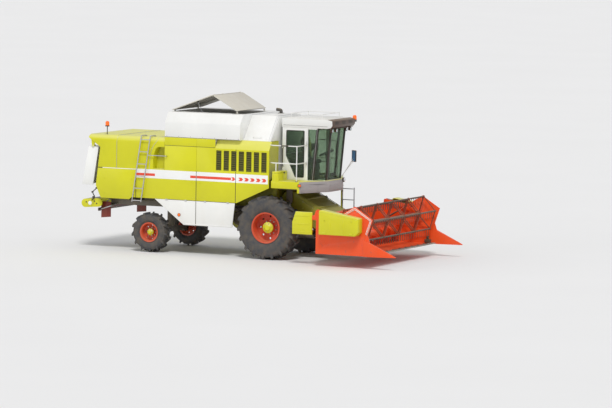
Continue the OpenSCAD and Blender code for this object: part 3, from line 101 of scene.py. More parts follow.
class Finish:
    """A material under way, with short calls for the nodes of its pattern."""

    def __init__(self, name, colour, roughness, metallic=0.0, coat=0.0):
        self.material = bpy.data.materials.new(name)
        self.material.use_nodes = True
        self.material.diffuse_color = (*colour, 1)
        self.tree = self.material.node_tree
        self.shader = self.tree.nodes["Principled BSDF"]
        self.set("Base Color", (*colour, 1))
        self.set("Roughness", roughness)
        self.set("Metallic", metallic)
        self.set("Coat Weight", coat)
        self.set("Specular IOR Level", 0.5 if metallic else 0.3)
        self.place = self.node("ShaderNodeTexCoord").outputs["Object"]

    def node(self, kind, **settings):
        made = self.tree.nodes.new(kind)
        for key, value in settings.items():
            setattr(made, key, value)
        return made

    def put(self, socket, value):
        if isinstance(value, bpy.types.NodeSocket):
            self.tree.links.new(value, socket)
        else:
            socket.default_value = value

    def set(self, socket, value):
        self.put(self.shader.inputs[socket], value)

    def stretched(self, scale):
        mapping = self.node("ShaderNodeMapping")
        self.put(mapping.inputs["Vector"], self.place)
        mapping.inputs["Scale"].default_value = scale
        return mapping.outputs["Vector"]

    def noise(self, scale, detail=4.0, where=None):
        made = self.node("ShaderNodeTexNoise")
        self.put(made.inputs["Vector"], where or self.place)
        made.inputs["Scale"].default_value = scale
        made.inputs["Detail"].default_value = detail
        made.inputs["Roughness"].default_value = 0.55
        return made.outputs["Fac"]

    def wave(self, scale, axis, distortion=0.0):
        made = self.node("ShaderNodeTexWave", bands_direction=axis)
        self.put(made.inputs["Vector"], self.place)
        made.inputs["Scale"].default_value = scale
        made.inputs["Distortion"].default_value = distortion
        return made.outputs["Fac"]

    def ranged(self, value, start, end, lowest=0.0, highest=1.0):
        made = self.node("ShaderNodeMapRange")
        self.put(made.inputs["Value"], value)
        for key, number in (("From Min", start), ("From Max", end), ("To Min", lowest), ("To Max", highest)):
            made.inputs[key].default_value = number
        return made.outputs["Result"]

    def maths(self, operation, first, second=0.0):
        made = self.node("ShaderNodeMath", operation=operation)
        self.put(made.inputs[0], first)
        self.put(made.inputs[1], second)
        return made.outputs[0]

    def mix(self, factor, first, second):
        made = self.node("ShaderNodeMix", data_type="RGBA")
        self.put(made.inputs["Factor"], factor)
        self.put(made.inputs[6], first)
        self.put(made.inputs[7], second)
        return made.outputs[2]

    def upright(self, vector):
        """The share of a vector that points up."""
        split = self.node("ShaderNodeSeparateXYZ")
        self.put(split.inputs[0], vector)
        return split.outputs["Z"]

    def upward(self):
        """How far a face looks up, from -1 to 1."""
        return self.upright(self.node("ShaderNodeNewGeometry").outputs["Normal"])

    def bump(self, value, distance, strength=1.0, under=None):
        made = self.node("ShaderNodeBump")
        made.inputs["Distance"].default_value = distance
        made.inputs["Strength"].default_value = strength
        self.put(made.inputs["Height"], value)
        if under is not None:
            self.put(made.inputs["Normal"], under)
        return made.outputs["Normal"]


DUST = (0.50, 0.38, 0.22, 1)


def tinted(colour, share):
    return (*(min(1.0, c * share) for c in colour[:3]), 1)


def painted(name, colour, dust=0.35, gloss=0.3, worn=0.0, dust_film_and_painted_sheen=None):
    """Sheet metal paint: uneven tone, a pale painted sheen that stands for the sky's reflection and straw
    dust on what looks up, fine orange peel.
    """
    finish = Finish(name, colour, gloss, coat=0.12)
    patches = finish.noise(0.9, 5)
    streaks = finish.noise(1.0, 4, finish.stretched((7, 7, 0.6)))
    tone = finish.mix(finish.ranged(patches, 0.3, 0.7), tinted(colour, 0.93), tinted(colour, 1.04))
    # Faces that look up are mixed towards a pale colour: a painted sheen of the sky's reflection
    if dust_film_and_painted_sheen:
        tone = finish.mix(finish.ranged(finish.upward(), 0.15, 0.7, 0.0, 0.55), tone, (*dust_film_and_painted_sheen, 1))
    lying = finish.ranged(finish.upward(), 0.2, 1.0, 0.0, 0.75)
    low_down = finish.ranged(finish.upright(finish.place), 2.2, 0.4, 0.12, 0.55)
    cover = finish.maths("ADD", lying, low_down)
    cover = finish.maths("MULTIPLY", cover, finish.ranged(streaks, 0.25, 0.75, 0.35, 1.1))
    cover = finish.maths("MULTIPLY", cover, dust)
    shade = finish.mix(cover, tone, DUST)
    if worn:
        chips = finish.ranged(finish.noise(9, 6), 0.66 - worn * 0.1, 0.70)
        shade = finish.mix(finish.maths("MULTIPLY", chips, worn), shade, (0.16, 0.13, 0.11, 1))
    finish.set("Base Color", shade)
    finish.set("Roughness", finish.ranged(cover, 0, 1, gloss, 0.85))
    waves = finish.bump(finish.noise(1.7, 2), 0.004, 0.5)
    finish.set("Normal", finish.bump(finish.noise(260, 2), 0.0004, 0.4, waves))
    return finish.material


def rubber(name, colour, dust=0.5):
    finish = Finish(name, colour, 0.8)
    patches = finish.noise(6, 6)
    cover = finish.maths("MULTIPLY", finish.ranged(patches, 0.35, 0.7), dust)
    finish.set("Base Color", finish.mix(cover, (*colour, 1), tinted(DUST, 0.72)))
    finish.set("Roughness", finish.ranged(patches, 0.3, 0.7, 0.65, 0.95))
    finish.set("Normal", finish.bump(finish.noise(90, 4), 0.0015, 0.5))
    return finish.material


def metal(name, colour, roughness, brushed=(1, 1, 1), dust=0.1):
    finish = Finish(name, colour, roughness, metallic=1.0)
    grain = finish.noise(60, 5, finish.stretched(brushed))
    cover = finish.maths("MULTIPLY", finish.ranged(finish.noise(3, 5), 0.45, 0.75), dust)
    finish.set("Base Color", finish.mix(cover, (*colour, 1), DUST))
    finish.set("Roughness", finish.ranged(grain, 0.3, 0.7, roughness * 0.7, min(1.0, roughness * 1.4)))
    finish.set("Metallic", finish.ranged(cover, 0, 0.6, 1.0, 0.2))
    finish.set("Normal", finish.bump(grain, 0.0004, 0.3))
    return finish.material


def plastic(name, colour, roughness=0.5, grain=0.0006, dust=0.15):
    finish = Finish(name, colour, roughness)
    cover = finish.maths("MULTIPLY", finish.ranged(finish.noise(2.5, 5), 0.4, 0.75), dust)
    finish.set("Base Color", finish.mix(cover, (*colour, 1), DUST))
    finish.set("Roughness", finish.ranged(finish.noise(40, 3), 0.3, 0.7, roughness * 0.85,
                                          min(1.0, roughness * 1.15)))
    finish.set("Normal", finish.bump(finish.noise(420, 2), grain, 0.6))
    return finish.material


def tinted_glass(name, colour, dust=0.1):
    finish = Finish(name, colour, 0.04)
    finish.set("Transmission Weight", 0.93)
    finish.set("IOR", 1.1)
    dust_film_and_painted_sheen = finish.ranged(finish.noise(2.2, 5, finish.stretched((1.5, 1.5, 0.6))), 0.45, 0.85, 0.02,
                         0.02 + dust)
    finish.set("Roughness", dust_film_and_painted_sheen)
    finish.set("Base Color", finish.mix(dust_film_and_painted_sheen, (*colour, 1), DUST))
    return finish.material


def lens(name, colour, glow=0.0):
    finish = Finish(name, colour, 0.12, coat=0.6)
    finish.set("Subsurface Weight", 0.15)
    finish.set("Normal", finish.bump(finish.wave(28, "Z"), 0.002, 0.5))
    finish.set("Base Color", finish.mix(finish.noise(14, 3), tinted(colour, 0.85), tinted(colour, 1.1)))
    if glow:
        finish.set("Emission Color", (*colour, 1))
        finish.set("Emission Strength", glow)
    return finish.material


def cloth(name, colour):
    finish = Finish(name, colour, 0.9)
    warp = finish.wave(160, "X", distortion=0.4)
    weft = finish.wave(160, "Z", distortion=0.4)
    weave = finish.maths("ADD", warp, weft)
    finish.set("Base Color", finish.mix(finish.ranged(weave, 0, 2), tinted(colour, 0.6), tinted(colour, 1.5)))
    finish.set("Sheen Weight", 0.3)
    finish.set("Normal", finish.bump(weave, 0.0012, 0.6))
    return finish.material


def screen(name, colour):
    """Dark woven wire behind the cooling slots."""
    finish = Finish(name, colour, 0.7, metallic=0.3)
    grid = finish.maths("MULTIPLY", finish.wave(24, "X"), finish.wave(24, "Z"))
    finish.set("Base Color", finish.mix(finish.ranged(grid, 0.1, 0.6), tinted(colour, 2.2),
                                        tinted(colour, 0.4)))
    finish.set("Normal", finish.bump(grid, 0.003, 0.8))
    return finish.material


# Shapes, in the machine's own frame and in metres


class Piece:
    """A mesh under way: shapes are added one after another, in the piece's own finish or in another one."""

    def __init__(self, name, body, slot, finish):
        self.name = name
        self.body = body
        self.slot = slot
        self.finishes = [finish]
        self.bm = bmesh.new()

    def index(self, finish):
        """Number of a finish in the mesh, or of the piece's own where none is named."""
        if finish and finish not in self.finishes:
            self.finishes.append(finish)
        return self.finishes.index(finish) if finish else 0

    def add(self, part, finish=None, copies=ONCE, fix=True):
        """Takes a shape in, once for each copy's place."""
        if fix:
            bmesh.ops.recalc_face_normals(part, faces=part.faces)
        for face in part.faces:
            face.material_index = self.index(finish(face) if callable(finish) else finish)
        mesh = bpy.data.meshes.new("shape")
        part.to_mesh(mesh)
        part.free()
        for copy in copies:
            placed = mesh.copy()
            placed.transform(copy)
            if copy.determinant() < 0:
                placed.flip_normals()
            self.bm.from_mesh(placed)
            bpy.data.meshes.remove(placed)
        bpy.data.meshes.remove(mesh)

    def box(self, start, end, bevel=0.0, finish=None, copies=ONCE, segments=2):
        start, end = Vector(start), Vector(end)
        part = bmesh.new()
        bmesh.ops.create_cube(part, size=1)
        size = end - start
        bmesh.ops.scale(part, vec=(abs(size.x), abs(size.y), abs(size.z)), verts=part.verts)
        bmesh.ops.translate(part, vec=(start + end) / 2, verts=part.verts)
        rounded(part, part.edges[:], bevel, segments)
        self.add(part, finish, copies)

    def plate(self, outline, axis, start, end, bevel=0.0, finish=None, copies=ONCE):
        """Prism over an outline: the axis that it is drawn along is X, Y or Z."""
        part = bmesh.new()
        corner = {"X": lambda p: (start, p[0], p[1]), "Y": lambda p: (p[0], start, p[1]),
                  "Z": lambda p: (p[0], p[1], start)}[axis]
        face = part.faces.new([part.verts.new(corner(p)) for p in outline])
        made = bmesh.ops.extrude_face_region(part, geom=[face])["geom"]
        shift = {"X": (end - start, 0, 0), "Y": (0, end - start, 0), "Z": (0, 0, end - start)}[axis]
        bmesh.ops.translate(part, vec=shift, verts=[v for v in made if isinstance(v, bmesh.types.BMVert)])
        rounded(part, part.edges[:], bevel)
        self.add(part, finish, copies)

    def rod(self, start, end, radius, finish=None, sides=12, tip=None, copies=ONCE, bevel=0.0):
        """Round bar or cone between two points."""
        start, end = Vector(start), Vector(end)
        part = bmesh.new()
        bmesh.ops.create_cone(part, cap_ends=True, segments=sides, radius1=radius,
                              radius2=radius if tip is None else tip, depth=(end - start).length)
        rounded(part, [e for e in part.edges if any(len(f.verts) > 4 for f in e.link_faces)], bevel)
        turn = (end - start).to_track_quat("Z", "Y").to_matrix().to_4x4()
        bmesh.ops.transform(part, matrix=Matrix.Translation((start + end) / 2) @ turn, verts=part.verts)
        self.add(part, finish, copies)

    def turned(self, outline, place, axis="Y", finish=None, steps=48, copies=ONCE):
        """Ring or disc: an outline of (radius, place along the axis) is spun round the axis."""
        part = bmesh.new()
        loop = [part.verts.new((r, 0, a)) for r, a in outline]
        edges = [part.edges.new((loop[i], loop[i - 1])) for i in range(len(loop))]
        bmesh.ops.spin(part, geom=loop + edges, cent=(0, 0, 0), axis=(0, 0, 1), angle=math.tau, steps=steps,
                       use_merge=True)
        bmesh.ops.remove_doubles(part, verts=part.verts, dist=1e-6)
        upright = {"X": Matrix.Rotation(math.pi / 2, 4, "Y"), "Y": Matrix.Rotation(-math.pi / 2, 4, "X"),
                   "-Y": Matrix.Rotation(math.pi / 2, 4, "X"), "Z": Matrix.Identity(4)}[axis]
        bmesh.ops.transform(part, matrix=Matrix.Translation(place) @ upright, verts=part.verts)
        self.add(part, finish, copies)

    def tube(self, points, radius, finish=None, sides=3, bend=0.0, copies=ONCE):
        """Bent tube through points, with rounded corners where bend is given."""
        curve = bpy.data.curves.new("tube", "CURVE")
        curve.dimensions = "3D"
        curve.bevel_depth = radius
        curve.bevel_resolution = sides
        curve.use_fill_caps = True
        route = softened([Vector(p) for p in points], bend)
        spline = curve.splines.new("POLY")
        spline.points.add(len(route) - 1)
        for point, place in zip(spline.points, route):
            point.co = (*place, 1)
        holder = bpy.data.objects.new("tube", curve)
        mesh = bpy.data.meshes.new_from_object(holder)
        part = bmesh.new()
        part.from_mesh(mesh)
        bmesh.ops.remove_doubles(part, verts=part.verts, dist=1e-5)
        bpy.data.objects.remove(holder)
        bpy.data.curves.remove(curve)
        bpy.data.meshes.remove(mesh)
        self.add(part, finish, copies)

    def bolts(self, places, axis, size=0.012, finish=None):
        """Six-sided bolt heads that look along an axis."""
        turn = Vector(axis).to_track_quat("Z", "Y").to_matrix().to_4x4()
        part = bmesh.new()
        bmesh.ops.create_cone(part, cap_ends=True, segments=6, radius1=size, radius2=size * 0.92,
                              depth=size * 1.2)
        self.add(part, finish, [Matrix.Translation(place) @ turn for place in places])

    def node(self, node, bevel, angle=25, segments=2, region=None, other=None):
        """Takes in a packed node with its sharp edges rounded. Faces inside the region get another finish."""
        part = bmesh.new()
        part.from_mesh(frame["nodes"][node].data)
        bmesh.ops.remove_doubles(part, verts=part.verts, dist=1e-5)
        bmesh.ops.dissolve_degenerate(part, edges=part.edges, dist=1e-6)
        bmesh.ops.dissolve_limit(part, angle_limit=math.radians(1), verts=part.verts, edges=part.edges)
        for sharp in sharp_islands(part, math.radians(angle)):
            rounded(part, sharp, bevel, segments)
        bmesh.ops.translate(part, vec=(-AXLE_X, 0, 0), verts=part.verts)

        def finish(face):
            return other if region and inside(face.calc_center_median(), region) else None

        self.add(part, finish, fix=False)

    def done(self, replaces=()):
        """Makes the object in the packed frame, and lets it ride on its body."""
        bmesh.ops.translate(self.bm, vec=(AXLE_X, 0, 0), verts=self.bm.verts)
        mesh = bpy.data.meshes.new(self.name)
        self.bm.to_mesh(mesh)
        self.bm.free()
        mesh.shade_smooth()
        mesh.set_sharp_from_angle(angle=math.radians(32))
        made = bpy.data.objects.new(self.name, mesh)
        bpy.context.scene.collection.objects.link(made)
        for finish in self.finishes:
            mesh.materials.append(FINISHES[finish])
        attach(made, self.body)
        if replaces:
            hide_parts(*replaces)
        return made


def inside(place, region):
    """Whether a place lies in a region: a function, or a box of the machine's frame on either side."""
    if callable(region):
        return region(place)
    start, end = region
    return all(start[i] <= p <= end[i] for i, p in enumerate((place.x, abs(place.y), place.z)))


def sharp_islands(part, angle):
    """The sharp edges of each solid of a mesh, so that no small one holds back a large one's rounding."""
    seen = set()
    for start in list(part.verts):
        if start in seen:
            continue
        seen.add(start)
        island, edges = [start], set()
        for vertex in island:
            for edge in vertex.link_edges:
                edges.add(edge)
                other = edge.other_vert(vertex)
                if other not in seen:
                    seen.add(other)
                    island.append(other)
        yield [e for e in edges if len(e.link_faces) == 2 and e.calc_face_angle() > angle]


def rounded(part, edges, bevel, segments=2):
    if bevel:
        bmesh.ops.bevel(part, geom=edges, offset=bevel, segments=segments, profile=0.5, affect="EDGES",
                        clamp_overlap=True, material=-1)


def softened(points, bend):
    """A route with each inner corner replaced by a short curve."""
    if not bend:
        return points
    route = [points[0]]
    for before, corner, after in zip(points, points[1:], points[2:]):
        start = corner + (before - corner).normalized() * min(bend, (before - corner).length * 0.45)
        end = corner + (after - corner).normalized() * min(bend, (after - corner).length * 0.45)
        route += [start.lerp(corner, t).lerp(corner.lerp(end, t), t) for t in (0, 0.25, 0.5, 0.75, 1)]
    return route + [points[-1]]


def around(place, axis, count, start=0.0):
    """Turns of a pattern round an axis through a place."""
    move = Matrix.Translation(place)
    return [move @ Matrix.Rotation(start + math.tau * i / count, 4, axis) for i in range(count)]


def twins(places):
    """A copy at each place, and its twin on the other side."""
    return [side @ Matrix.Translation(place) for side in BOTH for place in places]


def ring(x, y, z, radius, count):
    """Places on a circle that faces sideways."""
    turns = [math.tau * i / count for i in range(count)]
    return [(x + radius * math.cos(a), y, z + radius * math.sin(a)) for a in turns]


FINISHES = {}


class HarvesterColours(bpy.types.PropertyGroup):
    """Colours of the paints."""

    lime: bpy.props.FloatVectorProperty(
        name="Lime", description="Paint of the body panels", subtype="COLOR", default=(0.64, 0.62, 0.010))
    white: bpy.props.FloatVectorProperty(
        name="White", description="Paint of the tank, skirts and cab", subtype="COLOR",
        default=(0.83, 0.83, 0.80))
    header: bpy.props.FloatVectorProperty(
        name="Header red", description="Paint of the header", subtype="COLOR", default=(0.85, 0.075, 0.008))
    wheel: bpy.props.FloatVectorProperty(
        name="Wheel red", description="Paint of the rims", subtype="COLOR", default=(0.60, 0.045, 0.012))
    beacon: bpy.props.FloatVectorProperty(
        name="Beacon orange", description="Lenses of the beacons", subtype="COLOR",
        default=(0.95, 0.16, 0.01))


class MakeFinishes(bpy.types.Operator):
    """Make every paint, rubber, metal, glass and cloth"""

    bl_idname = "harvester.make_finishes"
    bl_label = "Finishes"

    def execute(self, context):
        colours = context.scene.harvester_colours
        lime, white = tuple(colours.lime), tuple(colours.white)
        FINISHES.update({
            # The lime's pale colour on faces that look up is a painted sky sheen
            "lime": painted("lime_paint", lime, dust=0.16, dust_film_and_painted_sheen=(0.78, 0.76, 0.26)),
            "lime_shade": painted("lime_shade_paint", tinted(lime, 0.36)[:3], dust=0.35, gloss=0.5),
            # Dark olive on the lime slats inside the cooling slots: painted shade
            "slat_shade": painted("slat_shade_paint", (0.10, 0.095, 0.010), dust=0.1, gloss=0.5),
            "white": painted("white_paint", white, dust=0.22),
            "roof": painted("roof_paint", tinted(white, 0.94)[:3], dust=0.4, gloss=0.45),
            "header": painted("header_paint", tuple(colours.header), dust=0.12, worn=0.4),
            "reel_red": painted("reel_red_paint", (0.28, 0.045, 0.020), dust=0.35, worn=0.5),
            "wheel": painted("wheel_paint", tuple(colours.wheel), dust=0.35, worn=0.2),
            "tow_red": painted("tow_paint", (0.17, 0.008, 0.008), dust=0.3),
            "frame_grey": painted("frame_paint", (0.13, 0.125, 0.12), dust=0.7, gloss=0.55),
            "beam_grey": painted("beam_paint", (0.36, 0.34, 0.34), dust=0.5, gloss=0.5, worn=0.3),
            "black": painted("black_paint", (0.02, 0.02, 0.02), dust=0.45, gloss=0.45),
            "engine": painted("engine_paint", (0.06, 0.06, 0.06), dust=0.6, gloss=0.6),
            "lid": painted("lid_paint", (0.62, 0.59, 0.51), dust=0.25, gloss=0.5),
            "fascia": painted("fascia_paint", (0.10, 0.065, 0.05), dust=0.35, gloss=0.45),
            "stripe_red": painted("stripe_red_film", (0.80, 0.075, 0.035), dust=0.2),
            "stripe_white": painted("stripe_white_film", (0.87, 0.87, 0.85), dust=0.15),
            "tyre": rubber("tyre_rubber", (0.060, 0.062, 0.068), dust=0.22),
            "seal": rubber("seal_rubber", (0.02, 0.02, 0.02), dust=0.2),
            "steel": metal("bright_steel", (0.55, 0.55, 0.56), 0.35),
            "chrome": metal("rod_chrome", (0.8, 0.8, 0.8), 0.08, dust=0.0),
            "knife": metal("knife_steel", (0.30, 0.28, 0.25), 0.45, dust=0.35),
            "bolt": metal("bolt_zinc", (0.45, 0.43, 0.38), 0.4, dust=0.3),
            "reel_steel": painted("reel_paint", (0.085, 0.055, 0.045), dust=0.4, gloss=0.5, worn=0.5),
            "glass": tinted_glass("cab_glass_tint", (0.42, 0.53, 0.42)),
            # The mirror's blue is a painted reflection of the sky
            "mirror": plastic("mirror_painted_sky_reflection", (0.10, 0.24, 0.48), 0.2, grain=0.0001, dust=0.0),
            "console": plastic("console_plastic", (0.07, 0.07, 0.075)),
            "lining": plastic("lining_plastic", (0.16, 0.15, 0.14), 0.7),
            "orange": lens("beacon_lens", tuple(colours.beacon), 0.15),
            "red_lens": lens("tail_lens", (0.55, 0.01, 0.01)),
            "clear_lens": lens("lamp_lens", (0.8, 0.82, 0.85)),
            "seat": cloth("seat_cloth", (0.035, 0.037, 0.042)),
            "screen": screen("cooling_screen", (0.05, 0.055, 0.02)),
        })
        return {"FINISHED"}


# Packed nodes of each finish, the ones that stay and those that a piece replaces
NODES_OF = {
    "lime": "straw_hood side_panels platform drive_guards unload_pivot unload_tube chopper",
    "lime_shade": "thresher_housing feeder_house",
    "white": "skirt_panels grain_tank engine_hood cab_shell door_left side_window_right handrails tail_flap",
    "roof": "cab_roof",
    "header": "header_table header_auger reel_arms",
    "reel_red": "reel",
    "wheel": "front_rim_left front_rim_right rear_rim_left rear_rim_right",
    "tow_red": "hitch",
    "frame_grey": "chassis outriggers",
    "black": "axles knuckle_left knuckle_right lift_barrels reel_barrels",
    "engine": "engine",
    "lid": "tank_lid_rear tank_lid_front",
    "tyre": "front_tyre_left front_tyre_right rear_tyre_left rear_tyre_right",
    "glass": "cab_glass door_glass_left",
    "seat": "seat",
    "console": "driver_console",
    "steel": "ladders",
    "knife": "cutter_bar",
    "chrome": "lift_rods reel_rods",
    "orange": "lamps",
}
FINISH_OF = {node: finish for finish, nodes in NODES_OF.items() for node in nodes.split()}


class PaintNodes(bpy.types.Operator):
    """Give every packed node its finish"""

    bl_idname = "harvester.paint_nodes"
    bl_label = "Paint on the packed parts"

    def execute(self, context):
        for node, finish in FINISH_OF.items():
            materials = frame["nodes"][node].data.materials
            materials.clear()
            materials.append(FINISHES[finish])
        return {"FINISHED"}


def on_pillars(place):
    """The cab's front pillars."""
    return place.x > 0.915 and 2.205 < place.z < 3.60


def on_slats(place):
    """Slats in the cooling slots of the side panels, painted dark as their shade."""
    in_wall = SIDE_Y - 0.0235 < abs(place.y) < SIDE_Y - 0.0015
    return in_wall and 2.402 < place.z < 2.948 and -1.6 < place.x < 0.06


def on_bars(place):
    """The reel's bars and tines, away from its red spiders and shaft."""
    apart = min(abs(abs(place.y) - spider) for spider in SPIDERS)
    return math.hypot(place.x - REEL_X, place.z - REEL_Z) > 0.08 and apart > 0.016


def on_fingers(place):
    """The fingers in the middle of the auger."""
    return abs(place.y) < 0.56 and math.hypot(place.x - AUGER_X, place.z - AUGER_Z) > 0.155


def on_lamp_feet(place):
    """The dark feet and poles of the beacons."""
    return place.z < (3.481 if place.x < 0 else 3.831)


# Packed nodes by the rounding of their edges, in millimetres
ROUNDED = {
    1: "reel reel_rods",
    2: "handrails cutter_bar header_auger lift_rods",
    3: "ladders reel_barrels unload_tube",
    4: "thresher_housing tank_lid_rear tank_lid_front feeder_house lift_barrels hitch lamps",
    5: "outriggers knuckle_left knuckle_right reel_arms unload_pivot",
    6: "chassis axles straw_hood skirt_panels cab_shell platform header_table chopper",
    7: "door_left side_window_right",
    8: "driver_console",
    10: "grain_tank engine_hood tail_flap",
    12: "cab_roof drive_guards",
    20: "engine",
}
# Second finish of a packed node and where it lies: a function, or a box given for the machine's left side
SECOND_FINISH = {
    "cab_shell": ("black", on_pillars),
    "cab_roof": ("fascia", ((1.498, 0, 3.5), (1.7, 0.8, 3.95))),
    "platform": ("beam_grey", ((0.975, 0, 1.8), (1.5, 1.5, 2.187))),
    "handrails": ("black", ((1.2, 1.1, 2.58), (1.5, 1.5, 3.0))),
    "ladders": ("lime", ((0.97, 1.30, 0.4), (1.002, 1.5, 1.9))),
    "header_auger": ("steel", on_fingers),
    "reel": ("reel_steel", on_bars),
    "unload_tube": ("seal", ((-5.4, 1.3, 2.4), (-4.945, 2.0, 3.3))),
    "chopper": ("black", ((-5.80, 0, 1.38), (-4.9, 1.218, 1.43))),
    "hitch": ("beam_grey", ((-5.33, 0, 1.07), (-5.299, 1.2, 1.15))),
    "lamps": ("black", on_lamp_feet),
}


class RoundEdges(bpy.types.Operator):
    """Round the edges of the packed parts"""

    bl_idname = "harvester.round_edges"
    bl_label = "Rounded edges"

    def execute(self, context):
        for millimetres, nodes in ROUNDED.items():
            for node in nodes.split():
                other, region = SECOND_FINISH.get(node, (None, None))
                piece = Piece(node + ".rounded", BODY_OF[node], SLOT_OF[node], FINISH_OF[node])
                piece.node(node, millimetres / 1000, region=region, other=other)
                piece.done(replaces=(node,))
        return {"FINISHED"}


class HarvesterTyres(bpy.types.PropertyGroup):
    """Tyres."""

    front_lugs: bpy.props.IntProperty(
        name="Front lugs", description="Lugs on each half of a front tyre", default=18)
    rear_lugs: bpy.props.IntProperty(
        name="Rear lugs", description="Lugs on each half of a rear tyre", default=13)
    lug_height: bpy.props.FloatProperty(
        name="Lug height", description="How far a lug stands out of the tread", subtype="DISTANCE",
        unit="LENGTH", default=0.052)
    sweep: bpy.props.FloatProperty(
        name="Sweep", description="How far a lug leans round the tyre, as a share of its half width",
        default=0.55)


class BuildTyres(bpy.types.Operator):
    """Turn the four tyres and set the chevron lugs on them"""

    bl_idname = "harvester.build_tyres"
    bl_label = "Tyres"

    def execute(self, context):
        tyres = context.scene.harvester_tyres
        # Axle, number of lugs and lug width of each pair
        for axle, lugs, lug_width in (("front", tyres.front_lugs, 0.058), ("rear", tyres.rear_lugs, 0.044)):
            for side in SIDES:
                self.tyre(tyres, axle, side, lugs, lug_width)
        return {"FINISHED"}

    def tyre(self, tyres, axle, side, lugs, lug_width):
        node = f"{axle}_tyre_{side}"
        bottom, top = span(node)
        radius, half = (top.z - bottom.z) / 2, (top.y - bottom.y) / 2
        rim_bottom, rim_top = span(f"{axle}_rim_{side}")
        seat = (rim_top.z - rim_bottom.z) / 2 - 0.022
        place = (bottom + top) / 2
        crown = radius - tyres.lug_height
        bead = half * 0.78 - 0.0005
        wall = crown - seat
        # Half of the outer section, as radius and place across the tyre
        section = [(seat, bead), (seat + 0.026, bead), (seat + 0.034, bead + 0.006),
                   (seat + 0.046, bead + 0.006), (seat + 0.056, half * 0.84),
                   (seat + wall * 0.28, half * 0.935), (seat + wall * 0.42, half * 0.985),
                   (seat + wall * 0.56, half * 0.995), (seat + wall * 0.72, half * 0.98),
                   (crown - 0.075, half * 0.955), (crown - 0.045, half * 0.92),
                   (crown - 0.020, half * 0.85), (crown - 0.007, half * 0.70),
                   (crown - 0.002, half * 0.35), (crown, 0.0)]
        inner = [(crown - 0.04, 0), (crown - 0.05, half * 0.7), (crown - 0.10, half * 0.85),
                 (seat + wall * 0.5, half * 0.86), (seat + 0.06, half * 0.72), (seat, bead - 0.035)]
        outline = (section + [(r, -y) for r, y in reversed(section[:-1])]
                   + [(r, -y) for r, y in reversed(inner[1:])] + inner)
        piece = Piece(node + ".tread", f"{axle}_wheel_{side}", "tyre_rubber", "tyre")
        piece.turned(outline, place, steps=96)
        shoulder = half * 0.955
        for half_side in (1, -1):
            part = lug_strip(radius, crown, half, shoulder, lug_width, tyres.sweep, half_side)
            piece.add(part, "tyre", around(place, "Y", lugs, half_side * math.pi / 2 / lugs))
        piece.done(replaces=(node,))


def lug_strip(radius, crown, half, shoulder, width, sweep, side):
    """One bar of the chevron, from the middle of the tread over the shoulder, at the top of the wheel."""
    part = bmesh.new()
    rows = []
    # Share of the way out, height over the tread's base, widening
    for share, foot, top, widen in ((-0.03, 0.012, 0.0, 0.85), (0.12, 0.012, 0.0, 0.95),
                                    (0.35, 0.012, 0.0, 1.0), (0.58, 0.014, 0.001, 1.05),
                                    (0.78, 0.020, 0.004, 1.15), (0.93, 0.045, 0.012, 1.3),
                                    (1.0, 0.120, 0.034, 1.35)):
        across = share * shoulder
        lean = -sweep * half * share * (1.15 - 0.15 * share)
        wide = width * widen / 2
        row = []
        for offset, deep in ((-wide * 1.35, foot), (-wide, -1), (wide, -1), (wide * 1.35, foot)):
            reach = radius - top if deep < 0 else crown - foot
            angle = (lean + offset) / radius
            row.append(part.verts.new((reach * math.sin(angle), side * across, reach * math.cos(angle))))
        rows.append(row)
    for before, after in zip(rows, rows[1:]):
        for i in range(4):
            part.faces.new((before[i], before[(i + 1) % 4], after[(i + 1) % 4], after[i]))
    part.faces.new(rows[0])
    part.faces.new(rows[-1])
    bmesh.ops.recalc_face_normals(part, faces=part.faces)
    rounded(part, [e for e in part.edges if e.calc_face_angle(0) > math.radians(40)], 0.004)
    return part


class BuildRims(bpy.types.Operator):
    """Round the rims, and set the hubs and wheel bolts on them"""

    bl_idname = "harvester.build_rims"
    bl_label = "Rims and hubs"

    def execute(self, context):
        # Axle, bolts, radius of the bolt circle, disc's face there, hub radius, how far out the hub ends
        for axle, bolts, circle, disc, hub, cap in (("front", 10, 0.185, -0.056, 0.15, 0.11),
                                                    ("rear", 8, 0.113, -0.035, 0.09, 0.09)):
            for side, sign in SIDES.items():
                self.rim(axle, side, sign, bolts, circle, disc, hub, cap)
        return {"FINISHED"}

    def rim(self, axle, side, sign, bolts, circle, disc, hub, cap):
        node = f"{axle}_rim_{side}"
        middle = (span(node)[0] + span(node)[1]) / 2
        tyre = span(f"{axle}_tyre_{side}")
        place = Vector((middle.x, (tyre[0].y + tyre[1].y) / 2, middle.z))
        piece = Piece(node + ".dressed", f"{axle}_wheel_{side}", "wheel_red", "wheel")
        piece.node(node, 0.003, 35, segments=1)
        turns = around(place, "Y", bolts)
        # Nuts on washers round the disc
        piece.rod((0, sign * (disc - 0.012), circle), (0, sign * (disc + 0.004), circle), 0.020, "bolt",
                  16, copies=turns)
        piece.rod((0, sign * disc, circle), (0, sign * (disc + 0.024), circle), 0.015, "bolt", 6,
                  copies=turns)
        # Lime hub with a stepped cap and round covers on it
        piece.turned([(0.0005, cap - 0.05), (hub + 0.002, cap - 0.05), (hub + 0.002, cap),
                      (hub * 0.95, cap + 0.008), (hub * 0.62, cap + 0.012), (hub * 0.55, cap + 0.034),
                      (hub * 0.48, cap + 0.042), (0.0005, cap + 0.046)], place, OUTWARD[sign], "lime", 40)
        piece.rod((0, sign * cap, hub * 0.79), (0, sign * (cap + 0.022), hub * 0.79), 0.011, "bolt", 6,
                  copies=around(place, "Y", 6, 0.3))
        piece.done(replaces=(node,))


